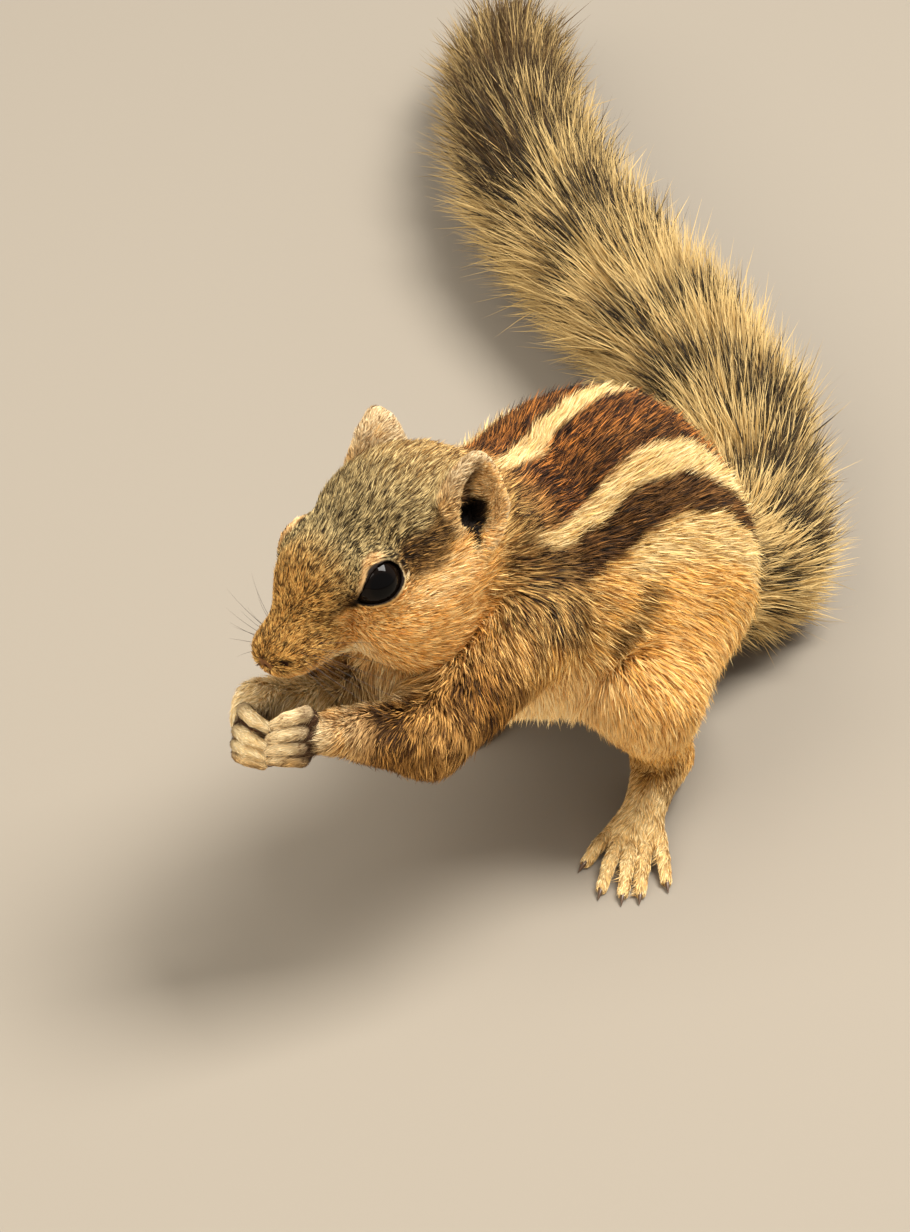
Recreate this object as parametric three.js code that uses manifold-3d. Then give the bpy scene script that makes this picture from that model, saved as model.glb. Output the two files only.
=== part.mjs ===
// A northern palm squirrel crouching on its hind feet and eating from both hands, life size.
// Millimetres, +Z up. The animal faces -Y, its left side is towards +X, and it stands on Z = 0.
//
// The flesh is one implicit field: ellipsoid muscles and tapered limbs melted together. Each piece
// samples that field at its own step, and thin cuts then part it from its neighbours. Hands, feet
// and ears are built from turned shapes. Every outline runs out to the tips of the coat.
import * as THREE from "three";
import { mergeVertices } from "three/addons/utils/BufferGeometryUtils.js";
import Module from "manifold-3d";

const wasm = await Module();
wasm.setup();

const v = (x, y, z) => new THREE.Vector3(x, y, z);
const degrees = THREE.MathUtils.degToRad;
const lerp = (a, b, t) => a.clone().lerp(b, t);

// ---------- Driving dimensions ----------

const GAP = 0.3; // width of every cut between two pieces
const SLIVER = 0.06; // slivers thinner than this are cleaned away once the cuts are made
const FAR = 400; // larger than the whole animal

// Head, in a frame of its own: origin midway between the eyes, nose towards -Y, palate level.
const HEAD_AT = v(-2.8, -31.6, 62.6);
const HEAD_TURN = new THREE.Euler(degrees(8), degrees(-7), degrees(-7), "ZXY");
const EYE = { at: v(7.15, 0.55, -0.15), radius: 3.75 };
const EAR = {
  at: v(10.6, 18.2, 3.2),
  turn: new THREE.Euler(degrees(-18), degrees(-11), degrees(-29), "ZXY"),
  size: v(4.6, 4.8, 7.6), // half sizes: deep, wide, tall
  wall: 0.9,
  mouth: 0.1, // where the cup opens, as a share of its depth
};

// Rings of the trunk from chest to rump: centre height at y, and half sizes across, along and up.
const TRUNK = [
  { y: -4, z: 42.3, size: v(15.5, 14.5, 18.7) },
  { y: 8, z: 38.9, size: v(18.5, 16, 21.6) },
  { y: 19, z: 38.4, size: v(19, 16, 23.1) },
  { y: 29, z: 36.4, size: v(18, 15.5, 22.1) },
  { y: 36, z: 29.5, size: v(15.5, 12.5, 18) },
];
const CHEST = { at: v(0.5, -14, 42.5), size: v(10.5, 13.8, 12.5) };

// Widths of the fillets where flesh melts into flesh. The two legs and the two arms barely melt.
const MELT = { head: 3.5, trunk: 7, thigh: 5, tail: 3, torso: 6, neck: 5, elbow: 2, knee: 3, sides: 0.5 };

// A joint is a place and the limb's radius there.
const ARMS = {
  left: {
    shoulder: [v(12, -9, 44), 8.4],
    elbow: [v(11.4, -29.2, 37.8), 6.3],
    wrist: [v(4.9, -42.3, 43.0), 3.0],
    knuckles: [v(4.3, -47.4, 49.7), v(4.3, -48.7, 41.4)],
    tips: [v(0.5, -49.9, 47.3), v(0.5, -50.7, 40.8)],
  },
  right: {
    shoulder: [v(-12.5, -8.5, 42), 8.2],
    elbow: [v(-5.5, -26.5, 34.6), 5.6],
    wrist: [v(-9.8, -41.4, 41.2), 3.0],
    knuckles: [v(-7.0, -47.2, 45.0), v(-7.4, -48.2, 36.6)],
    tips: [v(-2.3, -47.6, 44.2), v(-2.5, -49.0, 37.6)],
  },
};
const ARM_ROOM = { radius: 10.2, behind: 8 };
const FINGERS = 4;
const FINGER = { root: 1.25, knuckle: 1.15, tip: 0.85, claw: 1.1 };
// Heart and fan are shares of the way to the knuckles. The arch pushes the middle fingers forward.
const PALM = { radius: 2.6, heart: 0.6, fan: 0.35, arch: 0.9 };

const LEGS = {
  left: {
    hip: [v(11, 27, 30), 12],
    haunch: { at: v(11, 26, 31), size: v(10.5, 15, 17), turn: new THREE.Euler(degrees(-20), 0, 0) },
    knee: [v(19, 12, 25), 9.0],
    ankle: [v(17.0, 19.5, 8.4), 4.0],
    heel: [v(15.2, 23.6, 4.0), 3.2],
    ball: [v(20.2, 9.0, 2.4), 3.2],
    turn: 25, // degrees that the toes point outward
  },
  right: {
    hip: [v(-11, 29, 29), 12],
    haunch: { at: v(-11, 28, 30), size: v(10.5, 15, 17), turn: new THREE.Euler(degrees(-20), 0, 0) },
    knee: [v(-19, 16, 22), 9.0],
    ankle: [v(-15.2, 32, 8.4), 4.0],
    heel: [v(-14.0, 36, 4.0), 3.2],
    ball: [v(-16.8, 21.5, 2.4), 3.2],
    turn: -14,
  },
};

const HAUNCH_ROOM = { at: v(7, 23, 27.7), radius: 20.7 };
const KNEE_LEVEL = 17; // heights of the cuts that part the legs
const ANKLE_LEVEL = 10;

// Toes in the foot's own frame: x outward, y forward from the ball. Each has a root and a tip.
const TOES = [
  { root: v(-3.4, 0.6, 0), tip: v(-5.9, 7.2, 0) },
  { root: v(-2.1, 2.2, 0), tip: v(-2.4, 12.8, 0) },
  { root: v(-0.1, 2.6, 0), tip: v(0.9, 13.4, 0) },
  { root: v(1.8, 2.0, 0), tip: v(3.3, 12.6, 0) },
  { root: v(3.4, 0.4, 0), tip: v(6.4, 9.0, 0) },
];
const TOE = { root: 1.4, tip: 1.05, height: 1.5 };
const CLAW = { length: 1.5, root: 0.75, tip: 0.35 };
const SOLE = v(4.2, 6.0, 2.75); // half sizes of the pad under the ball

// The tail lies on the ground and sweeps to the right. Each row is a point and the plume's radius.
const TAIL = [
  [v(0, 43, 18.5), 10.5],
  [v(3.2, 57, 12.4), 9.8],
  [v(-5.5, 72.5, 10.8), 11.0],
  [v(-17.5, 85.5, 12.3), 12.6],
  [v(-32.5, 95, 13.2), 13.6],
  [v(-50.5, 103, 13.4), 13.8],
  [v(-70.5, 112.5, 13.4), 13.8],
  [v(-89, 125, 13.0), 13.4],
  [v(-104, 140, 11.4), 11.8],
  [v(-115, 153.5, 8.2), 8.4],
  [v(-121.5, 162, 5.0), 4.6],
];
const TAIL_CUTS = [1, 3, 5, 7]; // rows at which one length of tail ends and the next begins

// The sampling step of each kind of piece, and how far its box reaches past the points it is given.
const STEPS = { head: 2.9, neck: 4.6, trunk: 5.6, arm: 4.0, leg: 4.8, tail: 7.2 };
const REACH = { head: 18, ear: 14, neck: 20, trunk: 26, arm: 13, forearm: 8, leg: 22, tail: 20 };
const FINER = 0.96; // how much the step shrinks when a surface has to be sampled again

// ---------- Materials ----------

const material = (color, roughness) =>
  new THREE.MeshStandardMaterial({ color, roughness, metalness: 0 });
const MATERIALS = {
  back: material("#8a6238", 0.9),
  flank: material("#c9985c", 0.9),
  head: material("#9b8156", 0.9),
  arm: material("#9c7342", 0.9),
  tail: material("#8f8265", 0.95),
  skin: material("#b9a287", 0.8),
  ear: material("#a98a76", 0.8),
  eye: material("#0b0907", 0.08),
};

// ---------- Fields, negative inside ----------

// A sphere swept from one joint to another while its radius changes.
function taper([a, ra], [b, rb]) {
  const along = b.clone().sub(a);
  const length2 = along.lengthSq();
  const offset = new THREE.Vector3();
  return (p) => {
    offset.subVectors(p, a);
    const t = THREE.MathUtils.clamp(offset.dot(along) / length2, 0, 1);
    return offset.addScaledVector(along, -t).length() - THREE.MathUtils.lerp(ra, rb, t);
  };
}

function muscle(centre, size, turn = new THREE.Euler()) {
  const inverse = new THREE.Quaternion().setFromEuler(turn).invert();
  const q = new THREE.Vector3();
  return (p) => {
    q.subVectors(p, centre).applyQuaternion(inverse);
    const reach = Math.hypot(q.x / size.x, q.y / size.y, q.z / size.z);
    const slope = Math.hypot(q.x / size.x ** 2, q.y / size.y ** 2, q.z / size.z ** 2);
    return slope > 1e-6 ? (reach * (reach - 1)) / slope : -Math.min(size.x, size.y, size.z);
  };
}

// Fields joined with fillets about k wide.
function melt(k, ...fields) {
  return (p) => {
    let joined = FAR;
    for (const field of fields) {
      const next = field(p);
      const near = Math.max(k - Math.abs(joined - next), 0) / k;
      joined = Math.min(joined, next) - (near * near * k) / 4;
    }
    return joined;
  };
}

// ---------- Flesh ----------

const HEAD_MATRIX = new THREE.Matrix4().compose(
  HEAD_AT,
  new THREE.Quaternion().setFromEuler(HEAD_TURN),
  v(1, 1, 1),
);
const fromHead = (x, y, z) => v(x, y, z).applyMatrix4(HEAD_MATRIX);

function headField() {
  const pair = (x, y, z, size, toe) =>
    [1, -1].map((s) => muscle(v(s * x, y, z), size, new THREE.Euler(0, 0, s * degrees(toe))));
  const shape = melt(
    MELT.head,
    muscle(v(0, 11, -1.2), v(12.0, 14.0, 10.6)),
    muscle(v(0, 0.5, 0.2), v(8.2, 10.0, 6.4)),
    taper([v(0, -3, -0.6), 6.1], [v(0, -13.3, -5.7), 3.4]),
    taper([v(0, 6, -7.6), 7.0], [v(0, -10.2, -9.0), 2.6]),
    muscle(v(0, -15.2, -6.2), v(2.5, 1.8, 2.0)),
    ...pair(7.0, 7.5, -6.0, v(6.0, 10.5, 6.6), -10),
    ...pair(5.0, 7.0, -10.5, v(7.5, 9.0, 8.0), 0),
    ...pair(2.6, -10.0, -7.0, v(3.2, 4.8, 3.0), -16),
  );
  const toHead = HEAD_MATRIX.clone().invert();
  const q = new THREE.Vector3();
  return (p) => shape(q.copy(p).applyMatrix4(toHead));
}

const head = headField();
const neck = taper([v(-0.5, -3, 50), 14.0], [fromHead(0, 15, -3), 12.0]);
const trunk = melt(
  MELT.trunk,
  ...TRUNK.map((ring) => muscle(v(0, ring.y, ring.z), ring.size)),
  muscle(CHEST.at, CHEST.size),
);
const upperArm = (arm) => taper(arm.shoulder, arm.elbow);
const foreArm = (arm) => taper(arm.elbow, arm.wrist);
const thigh = (leg) =>
  melt(MELT.thigh, muscle(leg.haunch.at, leg.haunch.size, leg.haunch.turn), taper(leg.hip, leg.knee));
const shin = (leg) => taper(leg.knee, leg.ankle);
const tail = melt(MELT.tail, ...TAIL.slice(1).map((row, i) => taper(TAIL[i], row)));

const torso = melt(
  MELT.torso,
  trunk,
  neck,
  melt(MELT.sides, thigh(LEGS.left), thigh(LEGS.right)),
  melt(MELT.sides, upperArm(ARMS.left), upperArm(ARMS.right)),
  tail,
);
const flesh = melt(MELT.neck, torso, head);

// ---------- Solids ----------

// Surface net: one vertex in each cell that the surface crosses, and a quad across each crossed edge.
function surfaceNet(field, box, step) {
  const centre = box.getCenter(new THREE.Vector3());
  const half = box.getSize(new THREE.Vector3()).multiplyScalar(0.5);
  const inBox = (p) =>
    Math.max(
      Math.abs(p.x - centre.x) - half.x,
      Math.abs(p.y - centre.y) - half.y,
      Math.abs(p.z - centre.z) - half.z,
    );
  const value = (p) => Math.max(field(p), inBox(p));
  const start = box.min.clone().subScalar(step * 1.5);
  const counts = half.toArray().map((h) => Math.ceil((2 * h) / step) + 4);
  const cellId = (i, j, k) => (k * counts[1] + j) * counts[0] + i;
  const place = (i, j, k) => v(i, j, k).multiplyScalar(step).add(start);

  const samples = new Float64Array(counts[0] * counts[1] * counts[2]);
  forEachCell(counts, 0, (i, j, k) => {
    samples[cellId(i, j, k)] = value(place(i, j, k));
  });

  const positions = [];
  const vertexOf = new Map();
  forEachCell(counts, 1, (i, j, k) => {
    const sum = v(0, 0, 0);
    let crossings = 0;
    for (const [a, b] of CELL_EDGES) {
      const sa = samples[cellId(i + a[0], j + a[1], k + a[2])];
      const sb = samples[cellId(i + b[0], j + b[1], k + b[2])];
      if (sa < 0 === sb < 0) continue;
      sum.add(lerp(v(...a), v(...b), sa / (sa - sb)));
      crossings += 1;
    }
    if (crossings === 0) return;
    const mean = sum.divideScalar(crossings).multiplyScalar(step).add(place(i, j, k));
    const cell = new THREE.Box3(place(i, j, k), place(i + 1, j + 1, k + 1)).expandByScalar(-step * 0.05);
    vertexOf.set(cellId(i, j, k), positions.length / 3);
    positions.push(...cell.clampPoint(ontoSurface(value, mean, step), new THREE.Vector3()).toArray());
  });

  const index = [];
  forEachCell(counts, 1, (i, j, k) => {
    for (const [along, u, w] of AXES) {
      const here = samples[cellId(i, j, k)] < 0;
      const there = samples[cellId(i + along[0], j + along[1], k + along[2])] < 0;
      if (here === there) continue;
      const cell = (m, n) =>
        vertexOf.get(cellId(i - m * u[0] - n * w[0], j - m * u[1] - n * w[1], k - m * u[2] - n * w[2]));
      const quad = here
        ? [cell(0, 0), cell(1, 0), cell(1, 1), cell(0, 1)]
        : [cell(0, 0), cell(0, 1), cell(1, 1), cell(1, 0)];
      index.push(quad[0], quad[1], quad[2], quad[0], quad[2], quad[3]);
    }
  });

  const geometry = new THREE.BufferGeometry();
  geometry.setAttribute("position", new THREE.Float32BufferAttribute(positions, 3));
  geometry.setIndex(index);
  return geometry;
}

// The three directions, each with the two that span its quads.
const AXES = [
  [[1, 0, 0], [0, 1, 0], [0, 0, 1]],
  [[0, 1, 0], [0, 0, 1], [1, 0, 0]],
  [[0, 0, 1], [1, 0, 0], [0, 1, 0]],
];
const CORNERS = [0, 1, 2, 3, 4, 5, 6, 7].map((c) => [c & 1, (c >> 1) & 1, c >> 2]);
const CELL_EDGES = CORNERS.flatMap((a) =>
  AXES.filter(([along]) => !a.some((x, n) => x && along[n])).map(([along]) => [
    a,
    a.map((x, n) => x + along[n]),
  ]),
);

function forEachCell(counts, margin, visit) {
  for (let k = margin; k < counts[2] - margin; k++)
    for (let j = margin; j < counts[1] - margin; j++)
      for (let i = margin; i < counts[0] - margin; i++) visit(i, j, k);
}

// The point p drawn along the field's slope onto its zero level.
function ontoSurface(value, p, step) {
  const probe = step * 0.02;
  const moved = p.clone();
  for (let round = 0; round < 3; round++) {
    const here = value(moved);
    const slope = v(
      value(v(moved.x + probe, moved.y, moved.z)) - here,
      value(v(moved.x, moved.y + probe, moved.z)) - here,
      value(v(moved.x, moved.y, moved.z + probe)) - here,
    ).divideScalar(probe);
    if (slope.lengthSq() < 1e-4) break;
    moved.addScaledVector(slope, -here / slope.lengthSq());
  }
  return moved;
}

function solidOf(geometry) {
  const bare = geometry.clone();
  for (const name of Object.keys(bare.attributes)) {
    if (name !== "position") bare.deleteAttribute(name);
  }
  const merged = mergeVertices(bare, 1e-5);
  return new wasm.Manifold(
    new wasm.Mesh({
      numProp: 3,
      vertProperties: merged.attributes.position.array,
      triVerts: new Uint32Array(merged.index.array),
    }),
  );
}

function meshOf(name, solid, look) {
  const data = solid.getMesh();
  const geometry = new THREE.BufferGeometry();
  geometry.setAttribute("position", new THREE.BufferAttribute(data.vertProperties.slice(), 3));
  geometry.setIndex(new THREE.BufferAttribute(data.triVerts.slice(), 1));
  geometry.computeVertexNormals();
  const mesh = new THREE.Mesh(geometry, look);
  mesh.name = name;
  return mesh;
}

const union = (solids) => solids.reduce((a, b) => a.add(b));

// Everything on the far side of a plane, half a gap beyond it.
function beyond(point, normal) {
  const n = normal.clone().normalize();
  const cube = new THREE.BoxGeometry(FAR, FAR, FAR);
  cube.translate(0, 0, FAR / 2 + GAP / 2);
  cube.applyQuaternion(new THREE.Quaternion().setFromUnitVectors(v(0, 0, 1), n));
  cube.translate(point.x, point.y, point.z);
  return solidOf(cube);
}

const aboveFloor = beyond(v(0, 0, -GAP / 2), v(0, 0, 1));

function ball(centre, size, turn = new THREE.Euler(), sides = 12) {
  const sphere = new THREE.SphereGeometry(1, sides, Math.round(sides * 0.6));
  const matrix = new THREE.Matrix4();
  matrix.compose(centre, new THREE.Quaternion().setFromEuler(turn), size);
  return solidOf(sphere.applyMatrix4(matrix));
}

// A rod whose radius runs from one joint's to the other's, with ends rounded in a few rings.
function rod([a, ra], [b, rb], sides = 5, rings = 1) {
  const length = a.distanceTo(b);
  const lean = Math.asin(THREE.MathUtils.clamp((ra - rb) / length, -1, 1));
  const start = new THREE.EllipseCurve(0, 0, ra, ra, -Math.PI / 2, lean).getPoints(rings);
  const end = new THREE.EllipseCurve(0, length, rb, rb, lean, Math.PI / 2).getPoints(rings);
  start[0].x = 0;
  end[rings].x = 0;
  const turned = new THREE.LatheGeometry([...start, ...end], sides);
  return solidOf(stand(turned, a, b));
}

// A geometry built up the Y axis, stood on a and pointed at b.
function stand(geometry, a, b) {
  const direction = b.clone().sub(a).normalize();
  geometry.applyQuaternion(new THREE.Quaternion().setFromUnitVectors(v(0, 1, 0), direction));
  return geometry.translate(a.x, a.y, a.z);
}

// A straight-sided sleeve around the line from a to b, running past each end.
function sleeve(a, b, radius, past, sides) {
  const length = a.distanceTo(b) + past[0] + past[1];
  const tube = new THREE.CylinderGeometry(radius, radius, length, sides);
  return solidOf(stand(tube.translate(0, length / 2 - past[0], 0), a, b));
}

const grown = ([point, radius], by) => [point, radius + by];

function largest(solid) {
  return solid.decompose().reduce((a, b) => (a.volume() > b.volume() ? a : b));
}

// A piece of flesh: the field polygonised around the given points, before any cut. Where two sheets
// of the surface pinch at one vertex, which becomes two in the solid, a slightly finer step is tried.
function fleshAround(field, points, margin, step) {
  const box = new THREE.Box3().setFromPoints(points).expandByScalar(margin);
  const net = surfaceNet(field, box, step);
  const solid = solidOf(net);
  const pinched = solid.numVert() > net.getAttribute("position").count;
  return pinched ? fleshAround(field, points, margin, step * FINER) : solid;
}

// ---------- Cuts ----------

const neckCut = [fromHead(0, 20, -4), v(0, 0.8, -0.6)];
const trunkCut = [v(0, -1, 52), v(0, 1, -0.35)];
const tailCutAt = (row) => {
  const [before, here, after] = [TAIL[row - 1][0], TAIL[row][0], TAIL[row + 1][0]];
  return [here, after.clone().sub(before)];
};
const flip = ([point, normal]) => [point, normal.clone().negate()];
const bisector = (a, b, c) => {
  const into = b.clone().sub(a).normalize();
  return [b, c.clone().sub(b).normalize().add(into)];
};
const elbowCut = (arm) => bisector(arm.shoulder[0], arm.elbow[0], arm.wrist[0]);
const wristCut = (arm) => [arm.wrist[0], arm.wrist[0].clone().sub(arm.elbow[0])];
const kneeCut = [v(0, 0, KNEE_LEVEL), v(0, 0, -1)];
const ankleCut = [v(0, 0, ANKLE_LEVEL), v(0, 0, -1)];

// The space that a limb takes from the trunk: a sleeve around the upper arm, and a drum whose inner
// face lies beside the spine for the haunch. Both grow by the gap where the trunk is cut.
const armRoom = (arm, by) =>
  sleeve(arm.shoulder[0], arm.elbow[0], ARM_ROOM.radius + by, [ARM_ROOM.behind + by, FAR], 9);
const legRoom = (leg, by) => {
  const outward = Math.sign(leg.knee[0].x);
  const { x, y, z } = HAUNCH_ROOM.at;
  const [inner, outer] = [v(outward * x, y, z), v(outward * FAR, y, z)];
  return sleeve(inner, outer, HAUNCH_ROOM.radius + by, [by, 0], 14);
};
const limbRooms = union([
  ...Object.values(ARMS).map((arm) => armRoom(arm, GAP)),
  ...Object.values(LEGS).map((leg) => legRoom(leg, GAP)),
]);

// ---------- Pieces ----------

const group = new THREE.Group();

function addPiece(name, solid, look) {
  group.add(meshOf(name, largest(solid).simplify(SLIVER), look));
}

function addHead() {
  const points = [fromHead(0, -17, -6), fromHead(0, 20, -4)];
  let skull = fleshAround(flesh, points, REACH.head, STEPS.head).intersect(beyond(...flip(neckCut)));
  skull = skull.subtract(limbRooms);
  for (const [name, s] of [["left", 1], ["right", -1]]) {
    const centre = fromHead(s * EYE.at.x, EYE.at.y, EYE.at.z);
    const sphere = (radius) => ball(centre, v(radius, radius, radius));
    skull = skull.subtract(sphere(EYE.radius + GAP));
    addPiece(`${name}_eye`, sphere(EYE.radius), MATERIALS.eye);
    const ear = earShapes(s);
    addPiece(`${name}_ear`, ear.cup.subtract(ear.setting), MATERIALS.ear);
    skull = skull.subtract(ear.hollow);
  }
  addPiece("head", skull, MATERIALS.head);
}

// A cupped ear: part of a hollow ellipsoid, open forward and outward. The hollow also sinks into the
// head, and the setting is the flesh that the cup stands clear of.
function earShapes(s) {
  const { at, size, wall, turn } = EAR;
  const pose = new THREE.Matrix4().compose(
    v(s * at.x, at.y, at.z),
    new THREE.Quaternion().setFromEuler(new THREE.Euler(turn.x, s * turn.y, s * turn.z, turn.order)),
    v(1, 1, 1),
  );
  const place = (solid) =>
    (s > 0 ? solid : solid.mirror([1, 0, 0])).transform(pose.clone().premultiply(HEAD_MATRIX).toArray());
  const front = FAR / 2 + size.x * EAR.mouth;
  const mouth = solidOf(new THREE.BoxGeometry(FAR, FAR, FAR).translate(front, 0, 0));
  const hollow = ball(v(wall, 0, 0), size.clone().subScalar(wall));
  const cup = ball(v(0, 0, 0), size).subtract(hollow).subtract(mouth);
  const around = [fromHead(s * at.x, at.y, at.z)];
  const setting = fleshAround((p) => flesh(p) - GAP, around, REACH.ear, STEPS.head);
  return { cup: place(cup), hollow: place(hollow), setting };
}

function addTorso() {
  const throat = [fromHead(0, 20, -4), v(0, -12, 40), v(0, 2, 54)];
  const collar = fleshAround(flesh, throat, REACH.neck, STEPS.neck);
  addPiece(
    "neck",
    collar.intersect(beyond(...neckCut)).intersect(beyond(...flip(trunkCut))).subtract(limbRooms),
    MATERIALS.back,
  );
  const barrel = fleshAround(torso, [v(0, -6, 46), v(0, 62, 20)], REACH.trunk, STEPS.trunk);
  const rump = flip(tailCutAt(TAIL_CUTS[0]));
  addPiece(
    "trunk",
    barrel.intersect(beyond(...trunkCut)).intersect(beyond(...rump)).subtract(limbRooms),
    MATERIALS.back,
  );
}

function addTail() {
  TAIL_CUTS.forEach((row, n) => {
    const last = TAIL_CUTS[n + 1] ?? TAIL.length - 1;
    const points = TAIL.slice(row - 1, last + 2).map(([point]) => point);
    let length = fleshAround(torso, points, REACH.tail, STEPS.tail).intersect(beyond(...tailCutAt(row)));
    if (n + 1 < TAIL_CUTS.length) length = length.intersect(beyond(...flip(tailCutAt(last))));
    addPiece(`tail_${n + 1}`, length.intersect(aboveFloor), MATERIALS.tail);
  });
}

function addArm(side) {
  const arm = ARMS[side];
  let upper = fleshAround(torso, [arm.shoulder[0], arm.elbow[0]], REACH.arm, STEPS.arm);
  if (side === "right") upper = upper.subtract(armRoom(ARMS.left, GAP));
  addPiece(
    `${side}_upper_arm`,
    upper.intersect(armRoom(arm, 0)).intersect(beyond(...flip(elbowCut(arm)))),
    MATERIALS.arm,
  );
  const lower = melt(MELT.elbow, upperArm(arm), foreArm(arm));
  const fore = fleshAround(lower, [arm.elbow[0], arm.wrist[0]], REACH.forearm, STEPS.arm);
  addPiece(
    `${side}_forearm`,
    fore.intersect(beyond(...elbowCut(arm))).intersect(beyond(...flip(wristCut(arm)))),
    MATERIALS.arm,
  );
  addPiece(`${side}_hand`, handSolid(arm).intersect(beyond(...wristCut(arm))), MATERIALS.skin);
}

function handSolid(arm) {
  const [wrist, wristRadius] = arm.wrist;
  const heart = lerp(wrist, lerp(arm.knuckles[0], arm.knuckles[1], 0.5), PALM.heart);
  const bones = [rod([wrist, wristRadius], [heart, PALM.radius], 8, 2)];
  for (let n = 0; n < FINGERS; n++) {
    const t = n / (FINGERS - 1);
    const arch = v(0, -PALM.arch * Math.sin(Math.PI * t), 0);
    const knuckle = lerp(arm.knuckles[0], arm.knuckles[1], t).add(arch);
    const tip = lerp(arm.tips[0], arm.tips[1], t).add(arch);
    bones.push(rod([lerp(heart, knuckle, PALM.fan), FINGER.root], [knuckle, FINGER.knuckle]));
    bones.push(rod([knuckle, FINGER.knuckle], [tip, FINGER.tip]));
    const claw = tip.clone().addScaledVector(tip.clone().sub(knuckle).normalize(), FINGER.claw);
    bones.push(rod([tip, CLAW.root], [claw, CLAW.tip], 4));
  }
  return union(bones);
}

function addLeg(side) {
  const leg = LEGS[side];
  const upper = fleshAround(torso, [leg.haunch.at, leg.knee[0]], REACH.leg, STEPS.leg);
  addPiece(
    `${side}_thigh`,
    upper.intersect(legRoom(leg, 0)).intersect(beyond(...flip(kneeCut))),
    MATERIALS.flank,
  );
  const lower = melt(MELT.knee, thigh(leg), shin(leg));
  const joints = [leg.haunch.at, leg.knee[0], leg.ankle[0]];
  const calf = fleshAround(lower, joints, REACH.leg, STEPS.arm);
  addPiece(
    `${side}_shin`,
    calf.intersect(beyond(...kneeCut)).intersect(beyond(...flip(ankleCut))).intersect(legRoom(leg, 0)),
    MATERIALS.flank,
  );
  addPiece(
    `${side}_foot`,
    footSolid(leg, side === "left" ? 1 : -1).intersect(beyond(...ankleCut)).intersect(aboveFloor),
    MATERIALS.skin,
  );
}

function footSolid(leg, s) {
  const heading = new THREE.Euler(0, 0, degrees(leg.turn));
  const onFoot = (point, z) =>
    v(s * point.x, -point.y, z).applyEuler(heading).add(v(leg.ball[0].x, leg.ball[0].y, 0));
  const bones = [
    rod(grown(leg.knee, -3), leg.ankle, 8),
    rod(leg.ankle, leg.heel, 8, 2),
    rod(leg.ankle, leg.ball, 8),
    ball(leg.ball[0], SOLE, heading, 8),
  ];
  for (const { root, tip } of TOES) {
    const claw = tip.clone().addScaledVector(tip.clone().sub(root).normalize(), CLAW.length);
    bones.push(rod([onFoot(root, TOE.height), TOE.root], [onFoot(tip, TOE.tip), TOE.tip]));
    bones.push(rod([onFoot(tip, TOE.tip), CLAW.root], [onFoot(claw, CLAW.tip), CLAW.tip], 4));
  }
  return union(bones);
}

addHead();
addTorso();
addTail();
for (const side of ["left", "right"]) {
  addArm(side);
  addLeg(side);
}

// The origin goes to the bottom centre of the whole animal's box.
const box = new THREE.Box3().setFromObject(group);
const middle = box.getCenter(new THREE.Vector3());
group.position.set(-middle.x, -middle.y, -box.min.z);

export default group;
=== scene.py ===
"""The looks of a northern palm squirrel: one skin under a coat of mesh tufts, with eyes, claws and
whiskers of their own. Lengths are millimetres in the animal's own frame until a mesh is written:
+Z up, the animal faces -Y, its left side is towards +X and it stands on Z = 0."""

import math

import bpy
import numpy as np
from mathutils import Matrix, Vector


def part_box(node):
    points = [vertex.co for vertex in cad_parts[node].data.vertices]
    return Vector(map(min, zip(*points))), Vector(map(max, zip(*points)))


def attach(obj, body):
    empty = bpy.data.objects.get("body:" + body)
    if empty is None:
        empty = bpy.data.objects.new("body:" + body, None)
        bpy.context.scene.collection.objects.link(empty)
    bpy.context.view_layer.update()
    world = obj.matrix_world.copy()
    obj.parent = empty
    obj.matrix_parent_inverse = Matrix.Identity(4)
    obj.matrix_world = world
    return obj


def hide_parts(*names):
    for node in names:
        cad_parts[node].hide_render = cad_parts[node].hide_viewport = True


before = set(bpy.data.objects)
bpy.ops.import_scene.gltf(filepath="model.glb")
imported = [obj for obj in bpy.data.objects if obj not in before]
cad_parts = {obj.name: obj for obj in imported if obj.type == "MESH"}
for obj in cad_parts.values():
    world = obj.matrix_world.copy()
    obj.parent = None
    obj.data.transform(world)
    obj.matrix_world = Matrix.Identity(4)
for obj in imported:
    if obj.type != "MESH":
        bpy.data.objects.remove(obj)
RNG = np.random.default_rng(11)
FAR = 30.0
SIDES = {"left": 1, "right": -1}


# ---------- The animal's measures ----------


def turn_about(axis, degrees):
    c, s = math.cos(math.radians(degrees)), math.sin(math.radians(degrees))
    rows = {
        "x": [[1, 0, 0], [0, c, -s], [0, s, c]],
        "y": [[c, 0, s], [0, 1, 0], [-s, 0, c]],
        "z": [[c, -s, 0], [s, c, 0], [0, 0, 1]],
    }
    return np.array(rows[axis], float)


HEAD_AT = np.array([-2.8, -31.6, 62.6])
HEAD_TURN = turn_about("z", -7) @ turn_about("x", 8) @ turn_about("y", -7)
NOSE_TIP = np.array([0.3, -15.9, -6.7])
NOSTRIL = [(2.5, -15.3, -6.3), (2.9, -14.8, -6.5)]
NOSTRIL_RADII = (0.25, 0.32)
LIPS = [(0, -14.6, -8.1), (1.8, -13.5, -8.4), (3.4, -11.0, -9.1), (4.8, -8.6, -9.5), (6.2, -5.8, -9.4)]
LIPS_GROOVE = 0.24
CLEFT = [(0, -16.0, -7.2), (0, -14.6, -8.2)]
CLEFT_GROOVE = 0.2
EYE_AT = np.array([7.15, 0.55, -0.15])
EYE_RADIUS = 3.75
EYE_OUT = np.array([0.90, -0.30, 0.30])
EYE_LONG = np.array([0.30, 0.86, 0.42])

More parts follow.
